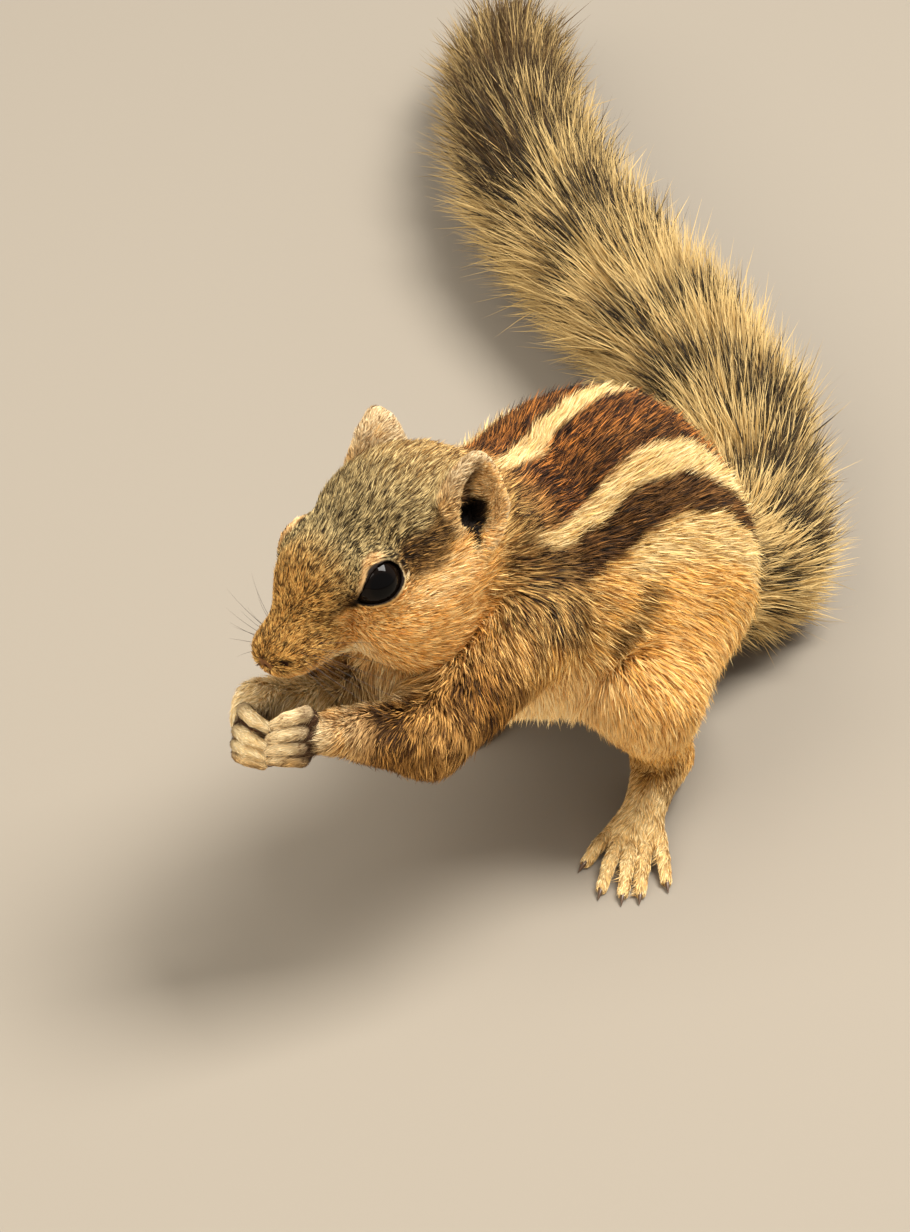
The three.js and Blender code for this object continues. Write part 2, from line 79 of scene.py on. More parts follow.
# Each lid's edge: where it peaks, its reach to the front and to the rear, and its height.
LID_UPPER = (0.6, 4.9, 3.05, 2.5)
LID_LOWER = (0.5, 4.55, 3.3, 2.5)

# The ear is a cup, with a thick flap along its front edge: points of the flap and its radii.
EAR_AT = np.array([10.6, 18.2, 3.2])
EAR_TURN = turn_about("z", -29) @ turn_about("x", -18) @ turn_about("y", -11)
EAR_SIZE = np.array([4.6, 4.8, 7.6])
EAR_WALL = 0.85
EAR_TAPER = 0.05
EAR_FLAP = [
    ((0.9, -4.4, -4.4), 1.2),
    ((1.0, -4.3, 0.5), 1.1),
    ((0.8, -3.1, 4.6), 0.85),
    ((0.4, -0.9, 7.0), 0.6),
]

# The hollow that sinks from the ear into the head.
EAR_HOLE_AT = (0.2, -0.8, -1.5)
EAR_HOLE_SIZE = np.array([3.8, 2.2, 2.2])

# How far the skin lies under the tips of the coat.
DEPTH = {
    "head": 0.9,
    "snout": 0.55,
    "neck": 2.3,
    "trunk": 2.7,
    "thigh": 2.5,
    "upper_arm": 1.8,
    "wrist": 0.5,
}

# Rings of the trunk: y, z, half sizes across, along and up.
TRUNK = [
    (-4, 42.3, 15.5, 14.5, 18.7),
    (8, 38.9, 18.5, 16, 21.6),
    (19, 38.4, 19, 16, 23.1),
    (29, 36.4, 18, 15.5, 22.1),
    (36, 29.5, 15.5, 12.5, 18),
]
CHEST_AT = (0.5, -14, 42.5)
CHEST_SIZE = np.array([10.5, 13.8, 12.5])

# Joints of the limbs: each a place and its radius out to the tips of the coat. Knuckles and tips
# are those of the first finger and the last, and spread sets the spacing between them.
ARMS = {
    "left": {
        "shoulder": ((12, -9, 44), 8.4),
        "elbow": ((11.4, -29.2, 37.8), 6.3),
        "wrist": ((4.9, -42.3, 43.0), 3.0),
        "knuckles": ((4.3, -47.4, 49.7), (4.3, -48.7, 41.4)),
        "tips": ((0.5, -49.9, 47.3), (0.5, -50.7, 40.8)),
        "spread": 1.0,
    },
    "right": {
        "shoulder": ((-12.5, -8.5, 42), 8.2),
        "elbow": ((-5.5, -26.5, 34.6), 5.6),
        "wrist": ((-9.8, -41.4, 41.2), 3.0),
        "knuckles": ((-7.0, -47.2, 45.0), (-7.4, -48.2, 36.6)),
        "tips": ((-2.3, -47.6, 44.2), (-2.5, -49.0, 37.6)),
        "spread": 0.8,
    },
}
FINGERS = 4
FINGER_RADII = (0.9, 1.05, 0.9, 0.72)
FINGER_ARCH = 0.9
FINGER_BOW = np.array([0, -0.8, 0.5])
PALM_RADIUS = 2.3
WEB_BACK = np.array([0, 1.3, 0])
WEB_RADII = (1.3, 1.2, 1.0)

LEGS = {
    "left": {
        "hip": ((11, 27, 30), 12),
        "haunch": (11, 26, 31),
        "knee": ((19, 12, 25), 9.0),
        "ankle": ((17.0, 19.5, 8.4), 4.0),
        "heel": ((15.2, 23.6, 4.0), 3.2),
        "ball": ((20.2, 9.0, 2.4), 3.2),
        "turn": 25,
    },
    "right": {
        "hip": ((-11, 29, 29), 12),
        "haunch": (-11, 28, 30),
        "knee": ((-19, 16, 22), 9.0),
        "ankle": ((-15.2, 32, 8.4), 4.0),
        "heel": ((-14.0, 36, 4.0), 3.2),
        "ball": ((-16.8, 21.5, 2.4), 3.2),
        "turn": -14,
    },
}
HAUNCH_SIZE = np.array([10.5, 15, 17])
HAUNCH_TURN = turn_about("x", -20)

# Toes in the foot's frame: root and tip, x outward and y forward of the ball.
TOES = [
    ((-3.4, 0.6), (-5.9, 7.2)),
    ((-2.1, 2.2), (-2.4, 12.8)),
    ((-0.1, 2.6), (0.9, 13.4)),
    ((1.8, 2.0), (3.3, 12.6)),
    ((3.4, 0.4), (6.4, 9.0)),
]
TOE_RADII = (1.0, 0.8, 0.66)
TOE_HEIGHTS = (1.9, 1.8, TOE_RADII[2] + 0.05)
PAD_HEIGHT = 2.3
PAD_SIZE = (3.6, 3.6, 2.2)
TOE_CLAW_LENGTH = 2.4
FINGER_CLAW_LENGTH = 1.4
FLOOR_GAP = 0.03

# The tail: points of its middle line and the plume's radius there, then the radii of its flesh.
TAIL = [
    ((0, 43, 18.5), 10.5),
    ((3.2, 57, 12.4), 9.8),
    ((-5.5, 72.5, 10.8), 11.0),
    ((-17.5, 85.5, 12.3), 12.6),
    ((-32.5, 95, 13.2), 13.6),
    ((-50.5, 103, 13.4), 13.8),
    ((-70.5, 112.5, 13.4), 13.8),
    ((-89, 125, 13.0), 13.4),
    ((-104, 140, 11.4), 11.8),
    ((-115, 153.5, 8.2), 8.4),
    ((-121.5, 162, 5.0), 4.6),
]
TAIL_CORE = [5.5, 4.2, 3.6, 3.3, 3.1, 3.0, 2.8, 2.5, 2.0, 1.4]

# The shared frame's place for the left eye sets the shift from the animal's frame to it.
LEFT_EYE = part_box("left_eye")
EYE_CENTRE = HEAD_AT + HEAD_TURN @ EYE_AT
SHIFT = np.array((LEFT_EYE[0] + LEFT_EYE[1]) / 2) * 1000 - EYE_CENTRE


def from_head(point):
    return HEAD_AT + HEAD_TURN @ np.array(point, float)


def to_head(points):
    return (points - HEAD_AT) @ HEAD_TURN


def folded(points):
    """The points with the right side laid over the left."""
    return np.abs(points) * (1, 0, 0) + points * (0, 1, 1)


# ---------- Shapes: a field that is negative inside, with the corners of its box ----------

CORNERS = np.array([[c & 1, (c >> 1) & 1, c >> 2] for c in range(8)])


def taper(a, ra, b, rb):
    """A rod with round ends, of radius ra at a and rb at b."""
    a, b = np.array(a, float), np.array(b, float)
    d = b - a
    length2 = float(d @ d)

    def field(x, y, z):
        x, y, z = x - a[0], y - a[1], z - a[2]
        t = np.clip((x * d[0] + y * d[1] + z * d[2]) / length2, 0, 1)
        away = np.sqrt((x - t * d[0]) ** 2 + (y - t * d[1]) ** 2 + (z - t * d[2]) ** 2)
        return away - (ra + (rb - ra) * t)

    return field, np.minimum(a - ra, b - rb), np.maximum(a + ra, b + rb)


def muscle(centre, size, turn=None):
    """A ball stretched to half sizes along three axes."""
    size = np.array(size, float)
    a, b, c = size

    def field(x, y, z):
        reach = np.sqrt((x / a) ** 2 + (y / b) ** 2 + (z / c) ** 2)
        slope = np.sqrt((x / a**2) ** 2 + (y / b**2) ** 2 + (z / c**2) ** 2)
        return reach * (reach - 1) / np.maximum(slope, 1e-5)

    return placed((field, -size, size), centre, np.eye(3) if turn is None else turn)


def placed(shape, at, turn):
    """The shape turned and then moved."""
    field, low, high = shape
    at = np.array(at, float)
    corners = at + np.where(CORNERS, high, low) @ turn.T

    def there(x, y, z):
        x, y, z = x - at[0], y - at[1], z - at[2]
        return field(*(turn[0, n] * x + turn[1, n] * y + turn[2, n] * z for n in range(3)))

    return there, corners.min(0), corners.max(0)


def mirrored(shape):
    """The shape on the other side of the animal."""
    field, low, high = shape
    return lambda x, y, z: field(-x, y, z), (-high[0], *low[1:]), (-low[0], *high[1:])


def smooth_min(a, b, k):
    """The lesser of two fields, rounded off where they are within k of each other."""
    near = np.maximum(k - np.abs(a - b), 0) / k
    return np.minimum(a, b) - near * near * k / 4


def melt(k, *shapes):
    """Shapes joined with soft seams of width k."""

    def field(x, y, z):
        joined = shapes[0][0](x, y, z)
        for other in shapes[1:]:
            joined = smooth_min(joined, other[0](x, y, z), k)
        return joined

    _, lows, highs = zip(*shapes)
    return field, np.min(lows, axis=0), np.max(highs, axis=0)


def at_points(shape, points):
    return shape[0](*points.T)


# ---------- Flesh under the coat ----------


def shrunk(joint, by):
    return joint[0], joint[1] - by


def limb(joint_a, joint_b, by_a, by_b):
    return taper(*shrunk(joint_a, by_a), *shrunk(joint_b, by_b))


def head_shape():
    d, snout = DEPTH["head"], DEPTH["snout"]
    skull = muscle((0, 11, -1.2), (12.0 - d, 14.0 - d, 10.6 - d))
    brow = muscle((0, 0.5, 0.2), (8.2 - d, 10.0 - d, 6.4 - d))
    bridge = taper((0, -3, -0.6), 6.1 - d, (0, -12.6, -5.7), 3.2 - snout)
    jaw = taper((0, 6, -7.6), 7.0 - d, (0, -10.2, -9.0), 2.6 - snout)
    nose = muscle((0, -13.8, -6.1), (2.5 - snout / 2, 2.0, 2.5 - snout / 2))
    shapes = [skull, brow, bridge, jaw, nose]
    for s in SIDES.values():
        cheek_size = (6.0 - d, 10.5 - d, 6.6 - d)
        lip_size = (2.9 - snout, 4.6 - snout, 2.7 - snout)
        shapes.append(muscle((7.0 * s, 7.5, -6.0), cheek_size, turn_about("z", -10 * s)))
        shapes.append(muscle((2.4 * s, -10.4, -7.0), lip_size, turn_about("z", -16 * s)))
        shapes.append(muscle((5.0 * s, 7, -10.5), (7.5 - d, 9 - d, 8 - d)))
    return placed(melt(3.0, *shapes), HEAD_AT, HEAD_TURN)


def trunk_shape():
    d = DEPTH["trunk"]
    rings = [muscle((0, y, z), (a - d, b - d, c - d)) for y, z, a, b, c in TRUNK]
    return melt(7, *rings, muscle(CHEST_AT, CHEST_SIZE - d))


def neck_shape():
    d = DEPTH["neck"]
    return taper((-0.5, -3, 50), 14.0 - d, from_head((0, 15, -3)), 12.0 - d)


def thigh_shape(leg):
    d = DEPTH["thigh"]
    haunch = muscle(leg["haunch"], HAUNCH_SIZE - d, HAUNCH_TURN)
    return melt(5, haunch, limb(leg["hip"], leg["knee"], d, d))


def upper_arm_shape(arm):
    return limb(arm["shoulder"], arm["elbow"], DEPTH["upper_arm"], DEPTH["upper_arm"])


def forearm_shape(arm):
    return limb(arm["elbow"], arm["wrist"], DEPTH["upper_arm"], DEPTH["wrist"])


def shin_shape(leg):
    return limb(leg["knee"], leg["ankle"], DEPTH["thigh"] + 0.3, 0.8)


def mid(a, b, t=0.5):
    a, b = np.array(a, float), np.array(b, float)
    return a + (b - a) * t


def tapers_along(joints, radii):
    pairs = range(len(joints) - 1)
    return [taper(joints[n], radii[n], joints[n + 1], radii[n + 1]) for n in pairs]


def finger_joints(arm):
    """The heart of the palm, and for each finger its root, knuckle, middle joint and tip."""
    wrist = arm["wrist"][0]
    heart = mid(wrist, mid(*arm["knuckles"]), 0.6)
    fingers = []
    for n in range(FINGERS):
        t = 0.06 + 0.88 * (n / (FINGERS - 1)) ** arm["spread"]
        arch = np.array([0, -FINGER_ARCH * math.sin(math.pi * t), 0])
        knuckle, tip = mid(*arm["knuckles"], t) + arch, mid(*arm["tips"], t) + arch
        middle = mid(knuckle, tip, 0.5) + FINGER_BOW
        fingers.append((mid(heart, knuckle, 0.35), knuckle, middle, tip))
    return heart, fingers


def hand_shape(arm):
    heart, fingers = finger_joints(arm)
    palm = taper(*shrunk(arm["wrist"], DEPTH["wrist"]), heart, PALM_RADIUS)
    bones = [melt(0.3, *tapers_along(joints, FINGER_RADII)) for joints in fingers]
    webs = []
    for above, below in zip(fingers, fingers[1:]):
        path = [mid(a, b) + WEB_BACK for a, b in zip(above[1:], below[1:])]
        webs += tapers_along(path, WEB_RADII)
    return melt(0.6, palm, melt(0.08, *bones, *webs))


def on_foot(leg, s, point, z):
    """A place at height z, from a point in the foot's frame."""
    ball = leg["ball"][0]
    spot = turn_about("z", leg["turn"]) @ np.array([s * point[0], -point[1], 0.0])
    return np.array([ball[0] + spot[0], ball[1] + spot[1], z])


def toe_joints(leg, s):
    """Each toe's root, knuckle and tip."""
    joints = []
    for root, tip in TOES:
        places = zip((root, mid(root, tip, 0.55), tip), TOE_HEIGHTS)
        joints.append([on_foot(leg, s, point, z) for point, z in places])
    return joints


def foot_shape(leg, s):
    ankle, heel, ball = (leg[name] for name in ("ankle", "heel", "ball"))
    pad = (*ball[0][:2], PAD_HEIGHT)
    sole = melt(
        1.5,
        limb(ankle, heel, 0.9, 0.5),
        limb(ankle, ball, 0.9, 0.5),
        taper(heel[0], 2.3, pad, 2.1),
        muscle(pad, PAD_SIZE, turn_about("z", leg["turn"])),
    )
    toes = [melt(0.5, *tapers_along(joints, TOE_RADII)) for joints in toe_joints(leg, s)]
    return melt(0.7, sole, melt(0.12, *toes))


def tail_shapes():
    rows = [point for point, _ in TAIL]
    return tapers_along(rows[: len(TAIL_CORE)], TAIL_CORE)


def unit(vector):
    vector = np.array(vector, float)
    return vector / np.linalg.norm(vector)


def eye_axes():
    out = unit(EYE_OUT)
    long = unit(EYE_LONG - out * (out @ unit(EYE_LONG)))
    return out, long, np.cross(out, long)


def lid_opening(x, y, z):
    """How far a point in the head's frame lies above the edge of the left eye's opening."""
    out, long, up = eye_axes()
    x, y, z = x - EYE_AT[0], y - EYE_AT[1], z - EYE_AT[2]
    along = x * long[0] + y * long[1] + z * long[2]
    across = x * up[0] + y * up[1] + z * up[2]
    behind = -(x * out[0] + y * out[1] + z * out[2])
    upper = lid_curve(along, *LID_UPPER)
    lower = lid_curve(along, *LID_LOWER)
    floor = behind + 0.2 + 0.6 * np.maximum(np.abs(along) - 2.4, 0)
    return np.maximum(np.where(across > 0, across - upper, -across - lower), floor)


def lid_curve(along, peak_at, front, rear, height):
    """A lid's height along the eye: a pointed front corner and a round rear one."""
    pointed = 1 - ((along - peak_at) / front) ** 2
    round_end = 1 - ((along - peak_at) / rear) ** 2
    rounded = np.sqrt(round_end.clip(0, 1)) + round_end.clip(-0.6, 0)
    return height * np.where(along < peak_at, pointed.clip(-0.6, 1), rounded)


def eye_cut():
    """What is cut away for the left eye: its socket and the opening between the lids."""
    reach = EYE_RADIUS + 2.2

    def field(x, y, z):
        away = np.sqrt((x - EYE_AT[0]) ** 2 + (y - EYE_AT[1]) ** 2 + (z - EYE_AT[2]) ** 2)
        socket = away - EYE_RADIUS - 0.02
        return np.minimum(np.maximum(lid_opening(x, y, z), away - reach), socket)

    return field, EYE_AT - reach, EYE_AT + reach


def ear_shapes():
    """A cup whose front edge is a thick pale flap, and the hollow that sinks from it into the head."""
    outer = muscle((0, 0, 0), EAR_SIZE)
    inner = muscle((EAR_WALL + 1.3, 0, 0), EAR_SIZE - EAR_WALL)
    flap = melt(0.5, *tapers_along(*zip(*EAR_FLAP)))

    def cup(x, y, z):
        narrow = y * (1 + EAR_TAPER * np.maximum(z, 0))
        shell = -smooth_min(-outer[0](x, narrow, z), inner[0](x, narrow, z), 0.3)
        mouth = x - 0.6 - 0.10 * y
        shell = -smooth_min(-shell, -mouth, 0.5)
        return smooth_min(shell, flap[0](x, y, z), 0.7)

    ear = placed((cup, -EAR_SIZE - 1, EAR_SIZE + 1), EAR_AT, EAR_TURN)
    hollow = placed(muscle(EAR_HOLE_AT, EAR_HOLE_SIZE), EAR_AT, EAR_TURN)
    return ear, hollow


def mouth_tool():
    """The line of the lips and the nostrils, in the head's frame."""
    tools = tapers_along(LIPS, [LIPS_GROOVE] * len(LIPS))
    tools += tapers_along(CLEFT, [CLEFT_GROOVE] * len(CLEFT))
    tools += tapers_along(NOSTRIL, NOSTRIL_RADII)
    left = melt(0.2, *tools)
    return melt(0.2, left, mirrored(left))


# ---------- The skin's volume and its mesh ----------


def axis_of(*stretches):
    parts = [np.arange(start, stop, step) for start, stop, step in stretches]
    return np.concatenate(parts).astype(np.float32)


# Stretches of each axis: start, end and step. The face, the hands and the feet have the finest.
AXES = (
    axis_of((-132, -26, 0.9), (-26, -15, 0.36), (-15, 9, 0.26), (9, 33, 0.36)),
    axis_of((-56, -24, 0.26), (-24, 12, 0.34), (12, 48, 0.55), (48, 168, 0.9)),
    axis_of((-0.68, 5, 0.28), (5, 35, 0.42), (35, 53, 0.27), (53, 68, 0.26), (68, 80, 0.34)),
)

# How far past a shape's box the field is worked out, so that soft seams stay whole.
MARGIN = 7.0


class Volume:
    """The field on a grid whose steps are finer where the animal has finer detail."""

    def __init__(self, axes):
        self.axes = axes
        self.values = np.full([len(a) for a in axes], FAR, np.float32)

    def block(self, low, high, margin):
        """The part of the grid within a box and a margin round it, with its coordinates."""
        spans = []
        for axis, a, b in zip(self.axes, low, high):
            start = np.searchsorted(axis, a - margin)
            stop = np.searchsorted(axis, b + margin)
            spans.append(slice(max(start, 0), max(stop, 1)))
        x, y, z = (axis[span] for axis, span in zip(self.axes, spans))
        return tuple(spans), (x[:, None, None], y[None, :, None], z[None, None, :])

    def add(self, shape, k, margin=MARGIN, sign=1):
        spans, grid = self.block(shape[1], shape[2], margin)
        values = shape[0](*grid).astype(np.float32)
        self.values[spans] = sign * smooth_min(sign * self.values[spans], values, k)

    def cut(self, shape, k):
        self.add(shape, k, margin=1.0, sign=-1)

    def sample(self, points):
        """The field at any points, between the grid's own by straight interpolation."""
        cell, share = [], []
        for n, axis in enumerate(self.axes):
            i = np.clip(np.searchsorted(axis, points[:, n]) - 1, 0, len(axis) - 2)
            cell.append(i)
            share.append(np.clip((points[:, n] - axis[i]) / (axis[i + 1] - axis[i]), 0, 1))
        total = 0
        for offset in CORNERS:
            weight = 1
            for n in range(3):
                weight = weight * (share[n] if offset[n] else 1 - share[n])
            total = total + weight * self.values[tuple(cell[n] + offset[n] for n in range(3))]
        return total

    def slope(self, points, h=0.35):
        """How steeply the field rises along each axis."""
        rises = [self.sample(points + step) - self.sample(points - step) for step in h * np.eye(3)]
        return np.stack(rises, 1) / (2 * h)


def skin_volume():
    """Each part joined to those before it, with the width of the soft seam beside it."""
    volume = Volume(AXES)
    volume.add(trunk_shape(), 1)
    volume.add(neck_shape(), 6)
    volume.add(melt(0.5, *(thigh_shape(leg) for leg in LEGS.values())), 8)
    volume.add(melt(0.5, *(upper_arm_shape(arm) for arm in ARMS.values())), 6)
    for n, length in enumerate(tail_shapes()):
        volume.add(length, 6 if n == 0 else 0.05)
    volume.add(head_shape(), 5)
    for arm in ARMS.values():
        volume.add(forearm_shape(arm), 2)
        volume.add(hand_shape(arm), 0.8)
    for side, s in SIDES.items():
        volume.add(shin_shape(LEGS[side]), 3)
        volume.add(foot_shape(LEGS[side], s), 3)
    add_face(volume)
    return volume


def add_face(volume):
    """Eyelids, ears with their hollows, the eyes' openings and the mouth's lines, on both sides."""
    eyelids = muscle(EYE_AT, np.full(3, EYE_RADIUS + 0.5))
    ear, hollow = ear_shapes()
    both_sides = (lambda shape: shape, mirrored)
    for flip in both_sides:
        volume.add(placed(flip(eyelids), HEAD_AT, HEAD_TURN), 1.6, margin=2)
    for flip in both_sides:
        volume.add(placed(flip(ear), HEAD_AT, HEAD_TURN), 1.4, margin=2)
        volume.cut(placed(flip(hollow), HEAD_AT, HEAD_TURN), 0.5)
        volume.cut(placed(flip(eye_cut()), HEAD_AT, HEAD_TURN), 0.15)
    volume.cut(placed(mouth_tool(), HEAD_AT, HEAD_TURN), 0.5)


CELL_EDGES = [
    (a, b) for a in range(8) for b in range(a + 1, 8) if abs(CORNERS[a] - CORNERS[b]).sum() == 1
]


def polygonise(volume):
    """A surface net: one vertex in each cell that the surface crosses, and quads across edges."""
    values, axes = volume.values, volume.axes
    inside = values < 0
    cells = tuple(n - 1 for n in values.shape)
    count = np.zeros(cells, np.uint8)
    for c in CORNERS:
        count += inside[tuple(slice(o, o + n) for o, n in zip(c, cells))]
    flat = np.flatnonzero((count > 0) & (count < 8))
    ids = np.stack(np.unravel_index(flat, cells), 1)
    corner = np.stack([values[tuple((ids + c).T)] for c in CORNERS], 1)
    total = np.zeros((len(ids), 3))
    crossings = np.zeros((len(ids), 1))
    for a, b in CELL_EDGES:
        crossed = (corner[:, a] < 0) != (corner[:, b] < 0)
        fall = np.where(crossed, corner[:, a] - corner[:, b], 1)
        share = np.where(crossed, corner[:, a] / fall, 0)
        spot = CORNERS[a] + (CORNERS[b] - CORNERS[a]) * share[:, None]
        total += np.where(crossed[:, None], spot, 0)
        crossings += crossed[:, None]
    local = total / crossings
    places = []
    for n in range(3):
        low, high = axes[n][ids[:, n]], axes[n][ids[:, n] + 1]
        places.append(low + (high - low) * local[:, n])
    return np.stack(places, 1), net_faces(inside, flat, cells)


def net_faces(inside, flat, cells):
    faces = []
    steps = np.eye(3, dtype=int)
    for n in range(3):
        u, w = steps[(n + 1) % 3], steps[(n + 2) % 3]
        here = inside[tuple(slice(0, -1) if m == n else slice(1, -1) for m in range(3))]
        there = inside[tuple(slice(1, None) if m == n else slice(1, -1) for m in range(3))]
        ids = np.argwhere(here != there)
        outward = here[tuple(ids.T)]
        ids = ids + 1 - steps[n]

        def vertex(a, b):
            cell = ids - a * u - b * w
            return np.searchsorted(flat, np.ravel_multi_index(cell.T, cells))

        quad = np.stack([vertex(0, 0), vertex(1, 0), vertex(1, 1), vertex(0, 1)], 1)
        faces.append(np.where(outward[:, None], quad, quad[:, ::-1]))
    return np.concatenate(faces)


def corner_normals(points, faces):
    """Smooth normals at the points of a mesh of quads."""
    a, b, c, d = (points[faces[:, n]] for n in range(4))
    flat = np.cross(c - a, d - b)
    total = np.zeros_like(points)
    for n in range(3):
        for m in range(4):
            total[:, n] += np.bincount(faces[:, m], flat[:, n], len(points))
    return normalised(total)


# ---------- Smooth noise and masks ----------


def waves(points, wavelength, seed, count=20):
    """Smooth noise of three parts, each about -1 to 1."""
    rng = np.random.default_rng(seed)
    heading = rng.normal(size=(count, 3))
    heading /= np.linalg.norm(heading, axis=1, keepdims=True)
    heading *= 2 * math.pi / wavelength * rng.uniform(0.7, 1.4, (count, 1))
    phase = rng.uniform(0, 2 * math.pi, (count, 3))
    angle = points @ heading.T
    parts = [np.sin(angle + phase[:, n]).sum(1) for n in range(3)]
    return np.stack(parts, 1) / math.sqrt(count / 2) * 0.6


def ramp(value, low, high):
    """0 up to low and 1 from high on, with a smooth rise between."""
    t = np.clip((value - low) / (high - low), 0, 1)
    return t * t * (3 - 2 * t)


def band(value, centre, half, soft):
    """1 within half of the centre and 0 beyond, with soft edges."""
    return 1 - ramp(np.abs(value - centre), half - soft, half + soft)


def from_segment(points, a, b):
    """Distance from each point to the straight line between a and b."""
    a, b = np.array(a, float), np.array(b, float)
    d = b - a
    t = np.clip((points - a) @ d / (d @ d), 0, 1)
    return np.linalg.norm(points - a - t[:, None] * d, axis=1)


def along_path(points, path):
    """Distance from each point to the nearest stretch of a path."""
    return np.min([from_segment(points, a, b) for a, b in zip(path, path[1:])], axis=0)


def normalised(vectors):
    return vectors / np.maximum(np.linalg.norm(vectors, axis=1, keepdims=True), 1e-9)


def off_eye(q):
    """Distance from the nearer eyeball, of points in the head's frame folded to the left."""
    return np.linalg.norm(q - EYE_AT, axis=1) - EYE_RADIUS


def lid_edge(q):
    return lid_opening(*q.T)


# ---------- Parts of the body: how near each point is to each ----------

EAR = ear_shapes()[0]
PARTS = {
    "head": [head_shape()],
    "neck": [neck_shape()],
    "trunk": [trunk_shape()],
    "tail": tail_shapes(),
}
for part, shape in (("upper_arm", upper_arm_shape), ("forearm", forearm_shape), ("hand", hand_shape)):
    PARTS.update({f"{side}_{part}": [shape(ARMS[side])] for side in SIDES})
for part, shape in (("thigh", thigh_shape), ("shin", shin_shape)):
    PARTS.update({f"{side}_{part}": [shape(LEGS[side])] for side in SIDES})
PARTS.update({f"{side}_foot": [foot_shape(LEGS[side], s)] for side, s in SIDES.items()})
PARTS["ear"] = [placed(melt(0.5, EAR, mirrored(EAR)), HEAD_AT, HEAD_TURN)]
PART_NAMES = list(PARTS)

# How softly one part gives way to the next.
BLUR = 1.3


def part_shares(points):
    """How much each point of the skin belongs to each part: a row of shares that add up to 1."""
    away = [np.min([at_points(s, points) for s in shapes], axis=0) for shapes in PARTS.values()]
    away = np.stack(away, 1)
    away[:, PART_NAMES.index("ear")] += 0.15
    share = np.exp(-(away - away.min(1, keepdims=True)) / BLUR)
    return share / share.sum(1, keepdims=True)


def share_of(shares, *names):
    return sum(shares[:, PART_NAMES.index(name)] for name in names)


def both(name):
    return [f"{side}_{name}" for side in SIDES]


# ---------- Markings ----------


def colour(red, green, blue):
    rgb = np.array([red, green, blue], float) / 255
    return np.where(rgb <= 0.04045, rgb / 12.92, ((rgb + 0.055) / 1.055) ** 2.4)


# Each fur: its main colour, its dark hairs and their share, its pale hairs and their share.
FURS = {
    "buff": ((230, 172, 86), (140, 88, 38), 0.20, (248, 212, 140), 0.32),
    # The belly's pale fur is also brightened past its own colour as painted light, standing in for
    # light thrown up from the floor.
    "belly": ((253, 216, 148), (214, 158, 90), 0.10, (254, 232, 180), 0.40),
    "cream": ((216, 180, 112), (168, 124, 66), 0.14, (236, 212, 156), 0.46),
    "rust": ((90, 52, 26), (22, 15, 10), 0.60, (210, 132, 60), 0.17),
    "chocolate": ((70, 44, 21), (20, 14, 8), 0.42, (138, 94, 48), 0.26),
    "nape": ((136, 94, 48), (32, 22, 14), 0.44, (222, 178, 106), 0.34),
    "crown": ((116, 96, 59), (34, 28, 19), 0.44, (204, 180, 126), 0.35),
    "muzzle": ((194, 140, 70), (66, 43, 23), 0.38, (228, 182, 104), 0.36),
    "mask": ((76, 51, 28), (26, 18, 11), 0.46, (156, 112, 56), 0.24),
    "cheek": ((238, 176, 92), (146, 94, 42), 0.18, (246, 212, 144), 0.34),
    "chin": ((236, 208, 150), (200, 158, 98), 0.10, (250, 234, 194), 0.40),
    "arm": ((106, 66, 28), (26, 17, 10), 0.50, (192, 134, 60), 0.28),
    "dusk": ((146, 118, 80), (76, 57, 38), 0.30, (216, 190, 148), 0.34),
    "foot": ((236, 196, 126), (160, 118, 64), 0.14, (250, 226, 170), 0.38),
    "hand": ((226, 198, 148), (132, 96, 58), 0.12, (248, 228, 184), 0.42),
    "ear": ((202, 170, 124), (122, 92, 58), 0.16, (230, 208, 166), 0.36),
    "fuzz": ((196, 148, 82), (88, 58, 32), 0.26, (234, 194, 126), 0.34),
    # Painted light: the inside of the ear made lighter than its own colour, standing in for light
    # shining through it.
    "inner": ((240, 190, 118), (140, 96, 52), 0.20, (252, 224, 166), 0.34),
    # Painted shade: the dark brown laid in the creases between the fingers, over the hollow of the
    # palm and behind the ear's flap.
    "painted_shade": ((70, 42, 28), (40, 24, 16), 0.4, (104, 68, 44), 0.2),
    "brow": ((210, 168, 110), (164, 120, 70), 0.12, (232, 198, 146), 0.3),
    "lid": ((26, 18, 12), (14, 10, 7), 0.5, (44, 30, 18), 0.1),
}

# Where the stripes run, at y stations: each cream stripe's angle from the top and half width, the
# angle where the dark band under the lateral one ends, and the width of the pale band under that.
STATIONS = [-10, -3, 3, 9, 18, 28, 40, 50]
DORSAL = ([9, 8, 4, -1, -6, -10, -11, 0], [3.5, 4.5, 5, 5.5, 5.5, 6, 7, 7])
LATERAL = ([41, 41, 41, 40, 42, 49, 50, 50], [3, 4, 4.5, 5, 6, 8.5, 10, 10])
DARK_EDGE = [68, 66, 64, 63, 67, 73, 77, 72]
OUTER_WIDTH = [1, 3, 5, 8, 12, 15, 17, 17]

# Painted shade under the pale band, along a line on each side: dark streaks for the shadow between
# locks where the coat folds in front of the thigh.
FOLD_SHADE = ((16.9, 13.0, 42.0), (17.0, 6.8, 37.0))

# The border of the dark crown along the head: y stations, then heights.
CROWN_LINE = (
    [-14, -10.8, -6.8, -4.1, 0.8, 4.3, 8.6, 13, 22],
    [-4.6, -3.2, -2.3, -0.6, 0.4, 0.8, 1.6, 1.2, -3],
)

MASK_PATHS = [[(10.2, 5.0, 2.6), (11.4, 13.0, 3.4)], [(11.2, 4.8, 0.4), (12.0, 7.6, 1.0)]]
STREAK = [(7.6, -3.6, -0.4), (6.0, -6.8, -2.3), (4.4, -10.8, -3.2), (4.0, -13.4, -4.4)]

